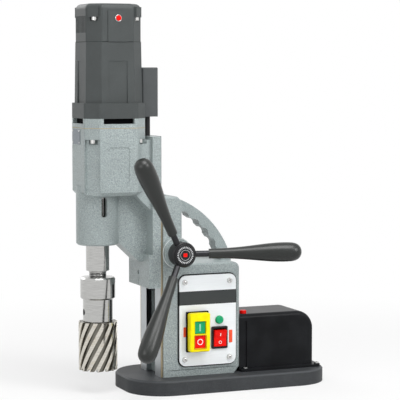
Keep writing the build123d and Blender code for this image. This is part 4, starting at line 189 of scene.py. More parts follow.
class Paint(Wiring):
    """A material's node tree, with the few node groups that every finish uses."""

    def __init__(self, name: str) -> None:
        """Makes an empty material.

        Args:
            name: The material's name.
        """
        self.material = bpy.data.materials.new(name)
        self.material.use_nodes = True
        super().__init__(self.material.node_tree)
        self.tree.nodes.clear()
        self.place = self.node("ShaderNodeTexCoord", output="Object")

    def axes(self) -> tuple[Wire, Wire, Wire]:
        """Returns the X, Y and Z of the shaded place."""
        split = self.node("ShaderNodeSeparateXYZ", inputs={0: self.place}).socket.node
        return Wire(self, split.outputs[0]), Wire(self, split.outputs[1]), Wire(self, split.outputs[2])

    def noise(self, cell: float, detail: float = 2.0, stretch: Sequence[float] = (1, 1, 1)) -> Wire:
        """Adds a noise pattern.

        Args:
            cell: Size of one blob in metres.
            detail: How many finer layers it has.
            stretch: How many times longer a blob is along each axis.

        Returns:
            The noise, about 0 to 1.
        """
        scale = Vector((1 / (cell * stretch[0]), 1 / (cell * stretch[1]), 1 / (cell * stretch[2])))
        sized = self.node("ShaderNodeMapping", {"vector_type": "POINT"},
                          {"Vector": self.place, "Scale": scale})
        return self.node("ShaderNodeTexNoise", None,
                         {"Vector": sized, "Scale": 1.0, "Detail": detail, "Roughness": 0.55})

    def blend(self, factor: Number, first: Any, second: Any) -> Wire:
        """Mixes two colours.

        Args:
            factor: 0 for the first, 1 for the second.
            first: Colour or wire.
            second: Colour or wire.

        Returns:
            The mixed colour.
        """
        made = self.node("ShaderNodeMix", {"data_type": "RGBA"}).socket.node
        self.feed(made.inputs[0], factor)
        self.feed(made.inputs[6], first)
        self.feed(made.inputs[7], second)
        return Wire(self, made.outputs[2])

    def bump(self, height: Wire, strength: float, depth: float) -> Wire:
        """Adds a bump.

        Args:
            height: The height pattern.
            strength: How strongly it shows.
            depth: Its depth in metres.

        Returns:
            The bumped normal.
        """
        values = {"Height": height, "Strength": strength, "Distance": depth}
        return self.node("ShaderNodeBump", None, values)

    def close(self, **values: Any) -> bpy.types.Material:
        """Adds the surface shader and the output.

        Args:
            values: The shader's inputs, with _ for a space in a name.

        Returns:
            The finished material.
        """
        inputs = {name.replace("_", " "): value for name, value in values.items()}
        surface = self.node("ShaderNodeBsdfPrincipled", None, inputs)
        self.node_output(surface)
        return self.material

    def node_output(self, surface: Wire) -> None:
        """Links a shader to the material's output."""
        made = self.tree.nodes.new("ShaderNodeOutputMaterial")
        self.tree.links.new(surface.socket, made.inputs["Surface"])


# ------------------------------------------------------------------ finishes


@dataclass(frozen=True)
class HammeredEnamel:
    """Grey enamel that dries into fine dimples, with light and dark flecks."""

    name: str
    colour: Colour
    fleck: float = 0.0011
    dimple: float = 0.0026
    relief: float = 0.75
    specular: float = 0.4

    def material(self) -> bpy.types.Material:
        """Builds the material and returns it."""
        paint = Paint(self.name)
        grain = paint.noise(self.fleck, 3.0)
        patch = paint.noise(0.045, 2.0)
        dimples = paint.noise(self.dimple, 1.0)
        dark = paint.blend(grain.ramp(0.34, 0.5), shade(self.colour, 0.68), self.colour)
        light = paint.blend(grain.ramp(0.54, 0.68), dark, shade(self.colour, 1.4))
        toned = paint.blend(patch.ramp(0.3, 0.7) * 0.3, light, shade(self.colour, 0.86))
        normal = paint.bump(dimples + grain * 0.5, self.relief, 0.0008)
        return paint.close(Base_Color=toned, Roughness=0.26 + dimples * 0.2, Normal=normal,
                           Specular_IOR_Level=self.specular)


@dataclass(frozen=True)
class MouldedPlastic:
    """Moulded plastic or fine powder paint with a spark-eroded grain."""

    name: str
    colour: Colour
    rough: float = 0.5
    grain: float = 0.0007
    relief: float = 0.12
    variation: float = 0.10
    specular: float = 0.25

    def material(self) -> bpy.types.Material:
        """Builds the material and returns it."""
        paint = Paint(self.name)
        grain = paint.noise(self.grain, 2.0)
        patch = paint.noise(0.03, 3.0)
        tone = paint.blend(patch.ramp(0.25, 0.75), shade(self.colour, 1 - self.variation),
                           shade(self.colour, 1 + self.variation))
        toned = paint.blend(grain.ramp(0.4, 0.65) * 0.3, tone, shade(self.colour, 1.35))
        normal = paint.bump(grain, self.relief, 0.0002)
        rough = patch * 0.12 + (self.rough - 0.06) + grain * 0.06
        return paint.close(Base_Color=toned, Roughness=rough, Normal=normal,
                           Specular_IOR_Level=self.specular)


@dataclass(frozen=True)
class EdgedPaint:
    """Dark powder paint with a painted highlight: lighter in a band along a plate's upper edge."""

    name: str
    colour: Colour
    edge_low: float
    edge_high: float

    def material(self) -> bpy.types.Material:
        """Builds the material and returns it."""
        paint = Paint(self.name)
        _, _, height = paint.axes()
        grain = paint.noise(0.0009, 2.0)
        patch = paint.noise(0.03, 3.0)
        # Painted highlight: a thin band just under the plate's top is mixed towards a lighter colour.
        edge = height.ramp(self.edge_low, self.edge_low + 0.0008) * height.below(self.edge_high)
        tone = paint.blend(patch.ramp(0.3, 0.7), shade(self.colour, 0.9), shade(self.colour, 1.12))
        speck = paint.blend(grain.ramp(0.5, 0.68) * 0.4, tone, shade(self.colour, 1.7))
        toned = paint.blend(edge * 0.55, speck, shade(self.colour, 1.9))
        normal = paint.bump(grain, 0.22, 0.0003)
        return paint.close(Base_Color=toned, Roughness=0.4 + patch * 0.16, Normal=normal,
                           Specular_IOR_Level=0.1)


class Turning(Enum):
    """How the tool marks run on a machined face."""

    ROUND = (1.0, 1.0, 0.02)
    UPRIGHT = (0.03, 0.03, 1.0)
    ALONG = (1.0, 0.04, 0.04)
    PLAIN = (0.2, 0.2, 0.2)


@dataclass(frozen=True)
class MachinedMetal:
    """Turned, ground or milled metal with fine tool marks."""

    name: str
    colour: Colour
    rough: float = 0.2
    turning: Turning = Turning.ROUND
    mark: float = 0.012
    relief: float = 0.05
    dullness: float = 0.12

    def material(self) -> bpy.types.Material:
        """Builds the material and returns it."""
        paint = Paint(self.name)
        marks = paint.noise(self.mark, 4.0, self.turning.value)
        patch = paint.noise(0.02, 3.0)
        toned = paint.blend(marks.ramp(0.3, 0.7), shade(self.colour, 0.86), shade(self.colour, 1.1))
        stained = paint.blend(patch.ramp(0.55, 0.8) * 0.3, toned, shade(self.colour, 0.7))
        normal = paint.bump(marks, self.relief, 0.0001)
        return paint.close(Base_Color=stained, Metallic=1.0, Normal=normal,
                           Roughness=self.rough + marks * self.dullness)


@dataclass(frozen=True)
class CutterSteel:
    """Ground high-speed steel: bright lands with a warm tint, and flutes painted darker as shade."""

    name: str
    axis_x: float
    radius: float
    flute: float = 0.0019
    land: Colour = srgb(222, 218, 208)
    flute_shade: Colour = srgb(112, 110, 102)

    def material(self) -> bpy.types.Material:
        """Builds the material and returns it."""
        paint = Paint(self.name)
        x, y, _ = paint.axes()
        across = x - self.axis_x
        reach = (across * across + y * y) ** 0.5
        inside = 1 - reach.ramp(self.radius - self.flute, self.radius - 0.0003)
        marks = paint.noise(0.010, 4.0, Turning.ROUND.value)
        patch = paint.noise(0.006, 3.0)
        bright = paint.blend(marks.ramp(0.35, 0.65), self.land, shade(self.land, 0.72))
        oiled = paint.blend(patch.ramp(0.5, 0.75) * 0.35, bright, srgb(176, 158, 128))
        # Painted shade: everything nearer the axis than the outer band, flutes and bore, takes the darker
        # colour.
        toned = paint.blend(inside, oiled, self.flute_shade)
        normal = paint.bump(marks, 0.06, 0.0001)
        return paint.close(Base_Color=toned, Metallic=1.0, Normal=normal,
                           Roughness=0.12 + inside * 0.14 + marks * 0.1)


@dataclass(frozen=True)
class PrintedPlate:
    """A satin white plate with one dark printed band across it."""

    name: str
    band_low: float
    band_high: float
    ground: Colour = srgb(238, 242, 244)
    band: Colour = srgb(38, 43, 43)

    def material(self) -> bpy.types.Material:
        """Builds the material and returns it."""
        paint = Paint(self.name)
        _, _, height = paint.axes()
        band = height.above(self.band_low) * height.below(self.band_high)
        brushed = paint.noise(0.02, 3.0, Turning.ALONG.value)
        grain = paint.noise(0.0008, 2.0)
        ground = paint.blend(brushed.ramp(0.3, 0.7) * 0.35, self.ground, shade(self.ground, 0.9))
        printed = paint.blend(grain * 0.25, self.band, shade(self.band, 1.5))
        toned = paint.blend(band, ground, printed)
        normal = paint.bump(grain + brushed, 0.05, 0.0001)
        return paint.close(Base_Color=toned, Metallic=0.15 - band * 0.15, Normal=normal,
                           Roughness=0.34 + brushed * 0.1 + band * 0.08)


@dataclass(frozen=True)
class GlossPlastic:
    """Glossy coloured plastic, as on switches, lenses and buttons."""

    name: str
    colour: Colour
    rough: float = 0.22
    glow: float = 0.0
    specular: float = 0.3

    def material(self) -> bpy.types.Material:
        """Builds the material and returns it."""
        paint = Paint(self.name)
        patch = paint.noise(0.008, 3.0)
        dust = paint.noise(0.0006, 2.0)
        tone = paint.blend(patch.ramp(0.3, 0.7), shade(self.colour, 0.94), shade(self.colour, 1.05))
        normal = paint.bump(dust, 0.05, 0.0001)
        return paint.close(Base_Color=tone, Roughness=self.rough + dust * 0.12, Normal=normal,
                           Specular_IOR_Level=self.specular,
                           Emission_Color=self.colour, Emission_Strength=self.glow)


FINISHES: dict[str, Any] = {
    "enamel": HammeredEnamel("grey_hammered_enamel", srgb(153, 163, 163)),
    "motor": MouldedPlastic("motor_plastic", srgb(64, 68, 68), 0.46, relief=0.3, specular=0.3),
    "guard": MouldedPlastic("guard_plastic", srgb(74, 77, 78), 0.4),
    "black": MouldedPlastic("black_plastic", srgb(26, 26, 28), 0.36),
    "cover": MouldedPlastic("cover_plastic", srgb(27, 28, 30), 0.28, relief=0.08, variation=0.3,
                            specular=0.07),
    "grip": MouldedPlastic("grip_plastic", srgb(26, 29, 27), 0.3, 0.0009, 0.08, specular=0.45),
    # Near-black with almost no gloss: real black on the switch body and the cap seam, painted shade on the
    # channel sheets, the ring in the cover's gaps and the vent bars.
    "black_and_shade": MouldedPlastic("black_plastic_and_shade", srgb(4, 4, 5), 0.7, specular=0.05),
    "rubber": MouldedPlastic("rubber", srgb(24, 24, 25), 0.75, 0.0012, 0.2, specular=0.2),
    "turned": MachinedMetal("turned_steel", srgb(186, 186, 184), 0.12, dullness=0.1),
    "bright": MachinedMetal("screw_steel", srgb(208, 208, 206), 0.2, Turning.PLAIN, 0.004),
    "ground": MachinedMetal("ground_steel", srgb(178, 182, 184), 0.34, Turning.UPRIGHT),
    "blackened": MachinedMetal("blackened_steel", srgb(58, 58, 60), 0.3, Turning.PLAIN, 0.006),
    "brass": MachinedMetal("bronze_strip", srgb(158, 146, 122), 0.4, Turning.UPRIGHT),
    "iron": MachinedMetal("iron", srgb(120, 121, 124), 0.42, Turning.ROUND, 0.008),
    "nameplate": MachinedMetal("milled_plate", srgb(124, 130, 136), 0.35, Turning.PLAIN, 0.01),
    "yellow": GlossPlastic("yellow_plastic", srgb(250, 232, 0), 0.3, specular=0.15),
    "green": GlossPlastic("green_plastic", srgb(0, 158, 104)),
    # Painted light: every red part glows faintly (strength 0.04), though none of them is a lit lamp.
    "red": GlossPlastic("red_plastic", srgb(232, 14, 4), 0.25, 0.04, 0.15),
    "orange": GlossPlastic("orange_label", srgb(240, 84, 48), 0.4),
    "amber": GlossPlastic("amber_bezel", srgb(214, 150, 30), 0.2),
    "white": GlossPlastic("white_print", srgb(236, 238, 236), 0.4),
    "mint": GlossPlastic("mint_print", srgb(150, 214, 188), 0.4),
    # Painted highlight: the pale ring on the boss's edge behind the feed hub.
    "boss_highlight": GlossPlastic("painted_highlight", srgb(206, 212, 212), 0.3),
    # Painted shadow: the thin dark line along the step of the casting's foot.
    "foot_step_shadow": GlossPlastic("seam_shadow", srgb(84, 92, 92), 0.6),
    "dial": GlossPlastic("dial_print", srgb(206, 208, 210), 0.45),
    "board": MouldedPlastic("circuit_board", srgb(38, 96, 64), 0.4),
    "tan": MouldedPlastic("paper_gasket", srgb(168, 156, 126), 0.8),
    "carbon": MouldedPlastic("carbon", srgb(42, 42, 42), 0.6),
}
_made: dict[str, bpy.types.Material] = {}


def finish(name: str) -> bpy.types.Material:
    """Returns the material of a named finish, built the first time it is asked for."""
    if name not in _made:
        _made[name] = FINISHES[name].material()
    return _made[name]


# ------------------------------------------------------------------ mesh building


def link(name: str, data: bpy.types.ID) -> bpy.types.Object:
    """Makes an object of its data and adds it to the scene."""
    made = bpy.data.objects.new(name, data)
    bpy.context.scene.collection.objects.link(made)
    return made


def write(made: bmesh.types.BMesh, name: str) -> bpy.types.Mesh:
    """Writes the faces being edited to a new mesh."""
    mesh = bpy.data.meshes.new(name)
    made.to_mesh(mesh)
    made.free()
    return mesh


def dress(finishes: dict[str, str]) -> None:
    """Gives the frame's own nodes their materials.

    Args:
        finishes: Node name to finish name.
    """
    for node, name in finishes.items():
        slots = frame["nodes"][node].data.materials
        slots.clear()
        slots.append(finish(name))
        log.info("%s is dressed in %s", node, name)


def join(name: str, mesh: bpy.types.Mesh, finish_name: str | None, body: str) -> None:
    """Makes a piece of the mesh, dresses it and lets it ride on its body.

    Args:
        name: The piece's name.
        mesh: Its mesh, already in place.
        finish_name: Its finish, or None where the mesh has its material.
        body: The body it rides on.
    """
    piece = link(name, mesh)
    if finish_name:
        mesh.materials.clear()
        mesh.materials.append(finish(finish_name))
    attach(piece, body)
    log.info("%s built with %d faces, on %s", name, len(mesh.polygons), body)


def rounded(width: float, height: float, radius: float, steps: int = 5) -> list[Point2]:
    """Outline of a rectangle with round corners, anticlockwise about the origin.

    Args:
        width: Its width.
        height: Its height.
        radius: The corners' radius.
        steps: Points per corner less one.

    Returns:
        The outline's points.
    """
    points = []
    for corner in range(4):
        side_x = 1 if corner in (0, 3) else -1
        side_y = 1 if corner in (0, 1) else -1
        centre = (side_x * (width / 2 - radius), side_y * (height / 2 - radius))
        for step in range(steps + 1):
            turn = math.pi / 2 * (corner + step / steps)
            points.append((centre[0] + radius * math.cos(turn), centre[1] + radius * math.sin(turn)))
    return points


def cut_square(half: float, corner: float) -> list[Point2]:
    """Outline of a square with cut corners, anticlockwise.

    Args:
        half: Half its width.
        corner: How far each corner is cut back.

    Returns:
        The outline's eight points.
    """
    flat = half - corner
    return [(half, -flat), (half, flat), (flat, half), (-flat, half),
            (-half, flat), (-half, -flat), (-flat, -half), (flat, -half)]


def prism(outline: Sequence[Point2], depth: float, place: Matrix,
          hole: Sequence[Point2] | None = None, edge: float = 0.0) -> bpy.types.Mesh:
    """Extrudes an outline, with a hole of as many points where one is given.

    Args:
        outline: The outer outline, anticlockwise.
        depth: The depth along local Z.
        place: Where the local axes lie.
        hole: The inner outline, anticlockwise.
        edge: Width of the bevel round the front face.

    Returns:
        The closed mesh.
    """
    made = bmesh.new()
    loops = []
    for points in (outline, hole) if hole else (outline,):
        loops.append([[made.verts.new((x, y, z)) for x, y in points] for z in (0.0, depth)])
    for low, high in loops:
        count = len(low)
        for index in range(count):
            after = (index + 1) % count
            made.faces.new((low[index], low[after], high[after], high[index]))
    if hole:
        for level in (0, 1):
            outer, inner = loops[0][level], loops[1][level]
            for index in range(len(outer)):
                after = (index + 1) % len(outer)
                made.faces.new((outer[index], outer[after], inner[after], inner[index]))
    else:
        for level in (0, 1):
            made.faces.new(loops[0][level])
    bmesh.ops.recalc_face_normals(made, faces=made.faces)
    if edge:
        sharp = [e for e in made.edges if all(abs(v.co.z - depth) < 1e-9 for v in e.verts)
                 and e.calc_face_angle(0.0) > 0.5]
        bmesh.ops.bevel(made, geom=sharp, offset=edge, segments=3, profile=0.5, affect="EDGES")
    made.transform(place)
    return write(made, "prism")


def lathe(profile: Sequence[Point2], place: Matrix, steps: int = 48) -> bpy.types.Mesh:
    """Turns a closed profile about local Z.

    Args:
        profile: Radius and height of each point, all off the axis.
        place: Where the local axes lie.
        steps: Number of steps round.

    Returns:
        The closed, smooth-shaded mesh.
    """
    made = bmesh.new()
    turns = [2 * math.pi * step / steps for step in range(steps)]
    rings = [[made.verts.new((radius * math.cos(t), radius * math.sin(t), height)) for t in turns]
             for radius, height in profile]
    for low, high in zip(rings, rings[1:] + rings[:1]):
        for step in range(steps):
            after = (step + 1) % steps
            made.faces.new((low[step], low[after], high[after], high[step]))
    bmesh.ops.recalc_face_normals(made, faces=made.faces)
    made.transform(place)
    mesh = write(made, "lathe")
    mesh.shade_smooth()
    mesh.set_sharp_from_angle(angle=math.radians(35))
    return mesh


def hoop(inner: float, outer: float, depth: float) -> list[Point2]:
    """Returns the profile of a flat ring between two radii."""
    return [(inner, 0), (outer, 0), (outer, depth), (inner, depth)]


def near_face(node: str) -> Vector:
    """Returns the middle of a node's face on the operator's side."""
    low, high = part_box(node)
    return Vector(((low.x + high.x) / 2, low.y, (low.z + high.z) / 2))


def facing(origin: Sequence[float], normal: Sequence[float]) -> Matrix:
    """Placement whose local Z points along normal and local Y upwards.

    Args:
        origin: Place of the local origin.
        normal: Direction of local Z, not upright.

    Returns:
        The placement.
    """
    out = Vector(normal).normalized()
    across = Vector((0, 0, 1)).cross(out).normalized()
    rise = out.cross(across)
    turn = Matrix((across, rise, out)).transposed().to_4x4()
    return Matrix.Translation(Vector(origin)) @ turn


OPERATOR = (0.0, -1.0, 0.0)
FRONT = (-1.0, 0.0, 0.0)


# ------------------------------------------------------------------ repeated pieces


class Pattern(Wiring):
    """A Geometry Nodes tree with named inputs, run once on a set of points."""

    def __init__(self, name: str, inputs: dict[str, tuple[str, Any]]) -> None:
        """Makes the tree and its inputs.

        Args:
            name: The tree's name.
            inputs: Socket type and value of each named input.
        """
        super().__init__(bpy.data.node_groups.new(name, "GeometryNodeTree"))
        face = self.tree.interface
        face.new_socket("Geometry", in_out="INPUT", socket_type="NodeSocketGeometry")
        face.new_socket("Finish", in_out="INPUT", socket_type="NodeSocketMaterial")
        self.names = {}
        for label, (kind, _) in inputs.items():
            self.names[label] = face.new_socket(label, in_out="INPUT", socket_type=kind).identifier
        face.new_socket("Geometry", in_out="OUTPUT", socket_type="NodeSocketGeometry")
        self.values = {label: value for label, (_, value) in inputs.items()}
        self.source = self.tree.nodes.new("NodeGroupInput")

    def take(self, label: str) -> Wire:
        """Returns the wire of a named input."""
        return Wire(self, self.source.outputs[label])

    def vector(self, x: Number, y: Number, z: Number) -> Wire:
        """Returns a vector of three numbers or wires."""
        return self.node("ShaderNodeCombineXYZ", None, {0: x, 1: y, 2: z})

    def spread(self, instance: Wire, smooth: bool, **inputs: Wire) -> "Pattern":
        """Sets a piece on every point, makes it real, dresses it and closes the tree.

        Args:
            instance: The piece that stands on each point.
            smooth: Whether its faces are smooth-shaded.
            inputs: More inputs of the instancing node.

        Returns:
            The closed tree.
        """
        placed = self.node("GeometryNodeInstanceOnPoints", None,
                           {"Points": self.take("Geometry"), "Instance": instance, **inputs})
        real = self.node("GeometryNodeRealizeInstances", None, {0: placed})
        shaded = self.node("GeometryNodeSetShadeSmooth", None, {"Geometry": real, "Shade Smooth": smooth})
        dressed = self.node("GeometryNodeSetMaterial", None,
                            {"Geometry": shaded, "Material": self.take("Finish")})
        sink = self.tree.nodes.new("NodeGroupOutput")
        self.tree.links.new(dressed.socket, sink.inputs["Geometry"])
        return self

    def run(self, points: Iterable[Sequence[float]], finish_name: str, **values: Any) -> bpy.types.Mesh:
        """Runs the tree on points and returns the plain mesh.

        Args:
            points: The places of the instances.
            finish_name: The finish of every piece.
            values: Input values that differ from the tree's own.

        Returns:
            The realized mesh.
        """
        seeds = bpy.data.meshes.new("points")
        seeds.from_pydata([tuple(p) for p in points], [], [])
        holder = link("points", seeds)
        modifier = holder.modifiers.new("pattern", "NODES")
        modifier.node_group = self.tree
        material_id = self.tree.interface.items_tree["Finish"].identifier
        modifier[material_id] = finish(finish_name)
        for label, value in (self.values | values).items():
            modifier[self.names[label]] = value
        bpy.context.view_layer.update()
        graph = bpy.context.evaluated_depsgraph_get()
        mesh = bpy.data.meshes.new_from_object(holder.evaluated_get(graph))
        holder.modifiers.clear()
        bpy.data.objects.remove(holder)
        bpy.data.meshes.remove(seeds)
        return mesh


def screw_pattern() -> Pattern:
    """Tree for button-head screws with a hexagon socket, facing along one direction."""
    tree = Pattern("button_screws", {
        "Radius": ("NodeSocketFloat", 0.0034), "Height": ("NodeSocketFloat", 0.0024),
        "Socket": ("NodeSocketFloat", 0.0014), "Facing": ("NodeSocketVector", (0.0, 0.0, 1.0))})
    radius = tree.take("Radius")
    flat, socket = tree.take("Height") * radius ** -1.0, tree.take("Socket") * radius ** -1.0
    ball = tree.node("GeometryNodeMeshUVSphere", None, {"Segments": 32, "Rings": 16, "Radius": 1.0})
    dome = tree.node("GeometryNodeTransform", None,
                     {"Geometry": ball, "Scale": tree.vector(1.0, 1.0, flat)})
    block = tree.node("GeometryNodeMeshCube", None, {"Size": tree.vector(4.0, 4.0, flat * 2)})
    under = tree.node("GeometryNodeTransform", None,
                      {"Geometry": block, "Translation": tree.vector(0.0, 0.0, 0 - flat)})
    hexagon = tree.node("GeometryNodeMeshCylinder", None,
                        {"Vertices": 6, "Radius": socket, "Depth": flat * 2})
    drive = tree.node("GeometryNodeTransform", None,
                      {"Geometry": hexagon, "Translation": tree.vector(0.0, 0.0, flat * 1.25)})
    cut = tree.node("GeometryNodeMeshBoolean", {"operation": "DIFFERENCE"}, {"Mesh 1": dome})
    tools = cut.socket.node.inputs["Mesh 2"]
    tree.tree.links.new(under.socket, tools)
    tree.tree.links.new(drive.socket, tools)
    turn = tree.node("FunctionNodeAlignRotationToVector", {"axis": "Z"}, {"Vector": tree.take("Facing")})
    return tree.spread(cut, True, Rotation=turn, Scale=tree.vector(radius, radius, radius))


def tick_pattern() -> Pattern:
    """Tree for small bars set round a circle about Z, one at each point given."""
    tree = Pattern("dial_ticks", {"Size": ("NodeSocketVector", (0.0022, 0.0009, 0.0003))})
    bar = tree.node("GeometryNodeMeshCube", None, {"Size": tree.take("Size")})
    outward = tree.node("GeometryNodeInputPosition")
    turn = tree.node("FunctionNodeAlignRotationToVector", {"axis": "X"}, {"Vector": outward})
    return tree.spread(bar, False, Rotation=turn)


def bar_pattern() -> Pattern:
    """Tree for equal bars, one at each point given."""
    tree = Pattern("bars", {"Size": ("NodeSocketVector", (0.001, 0.001, 0.001))})
    bar = tree.node("GeometryNodeMeshCube", None, {"Size": tree.take("Size")})
    return tree.spread(bar, False)


def ring_pattern() -> Pattern:
    """Tree for round wire rings about Z, one at each point given."""
    tree = Pattern("rings", {"Radius": ("NodeSocketFloat", 0.011), "Wire": ("NodeSocketFloat", 0.0005)})
    path = tree.node("GeometryNodeCurvePrimitiveCircle", None,
                     {"Resolution": 72, "Radius": tree.take("Radius")})
    section = tree.node("GeometryNodeCurvePrimitiveCircle", None,
                        {"Resolution": 10, "Radius": tree.take("Wire")})
    ring = tree.node("GeometryNodeCurveToMesh", None, {"Curve": path, "Profile Curve": section})
    return tree.spread(ring, True)


@dataclass
class Patterns:
    """The trees that every sub-assembly shares."""

    screws: Pattern
    ticks: Pattern
    bars: Pattern
    rings: Pattern


# ------------------------------------------------------------------ sub-assemblies


@dataclass
class SubAssembly:
    """What every sub-assembly shares: the trees for repeated pieces."""

    patterns: Patterns


@dataclass
class Stand(SubAssembly):
    """Base, frame casting, rails, and black sheets in the slide's channel that paint its shade."""

    body: str = "stand"
    # Painted highlight on the base's upper edge, measured down from its top.
    highlight_low: float = 0.0024
    highlight_high: float = 0.0002
    # Painted shade: black sheets deep in the slide's channel.
    channel_shade_foot: float = 0.0145
    channel_shade_head: float = 0.001
    channel_shade_corner: float = 0.002
    channel_shade_thick: float = 0.0008
    channel_shade_half: float = 0.0198
    channel_shade_gap_low: float = 0.166
    channel_shade_gap_high: float = 0.197
    channel_back: float = -0.0845
    lobe_radius: float = 0.0198
    lobe_step: float = 0.009
    highlight_width: float = 0.0009
    # Width of the painted highlight ring on the boss's edge, and how far it and the foot lines stand proud.
    proud_depth: float = 0.0003
    flank: float = 0.04
    foot_middle: float = -0.0425
    foot_length: float = 0.096
    foot_line: float = 0.0007
    foot_rise: float = 0.0085
    foot_corner: float = 0.0001

    def build(self) -> None:
        """Builds the stand's fittings."""
        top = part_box("base_plate")[1].z
        FINISHES["base"] = EdgedPaint("base_paint", srgb(61, 63, 65), top - self.highlight_low,
                                      top - self.highlight_high)
        dress({"base_plate": "base", "frame_casting": "enamel", "seal_ring": "rubber",
               "guide_rails": "ground", "wear_strips": "brass", "feed_bushes": "brass",
               "stand_screws": "bright", "cable_gland": "black"})
        self._channel_shade()
        self._boss_highlight()
        self._foot_line()

    def _boss_highlight(self) -> None:
        """Lays a painted highlight: a thin pale ring on the edge of the boss behind the feed hub."""
        centre = near_face("feed_hub")
        centre.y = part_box("frame_casting")[0].y + self.lobe_step
        profile = hoop(self.lobe_radius - self.highlight_width, self.lobe_radius, self.proud_depth)
        join("boss_highlight_ring", lathe(profile, facing(centre, OPERATOR)), "boss_highlight", self.body)

    def _foot_line(self) -> None:
        """Lays a thin dark line near and far along the casting's foot, a painted shadow of the foot's step.
        """
        low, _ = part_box("frame_casting")
        outline = rounded(self.foot_length, self.foot_line, self.foot_corner)
        for name, way in (("near", -1), ("far", 1)):
            place = facing((self.foot_middle, way * self.flank, low.z + self.foot_rise), (0, way, 0))
            join(f"foot_line_{name}", prism(outline, self.proud_depth / 2, place), "foot_step_shadow", self.body)

    def _channel_shade(self) -> None:
        """Builds painted shade: two black sheets behind the rack, clear of the feed pinion, standing in for
        the shade deep in the channel.
        """
        rails_low, rails_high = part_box("guide_rails")
        for name, low, high in (("low", rails_low.z + self.channel_shade_foot, self.channel_shade_gap_low),
                                ("high", self.channel_shade_gap_high, rails_high.z - self.channel_shade_head)):
            outline = rounded(2 * self.channel_shade_half, high - low, self.channel_shade_corner)
            place = facing((self.channel_back, 0, (low + high) / 2), FRONT)
            join(f"channel_shade_sheet_{name}", prism(outline, self.channel_shade_thick, place), "black_and_shade", self.body)


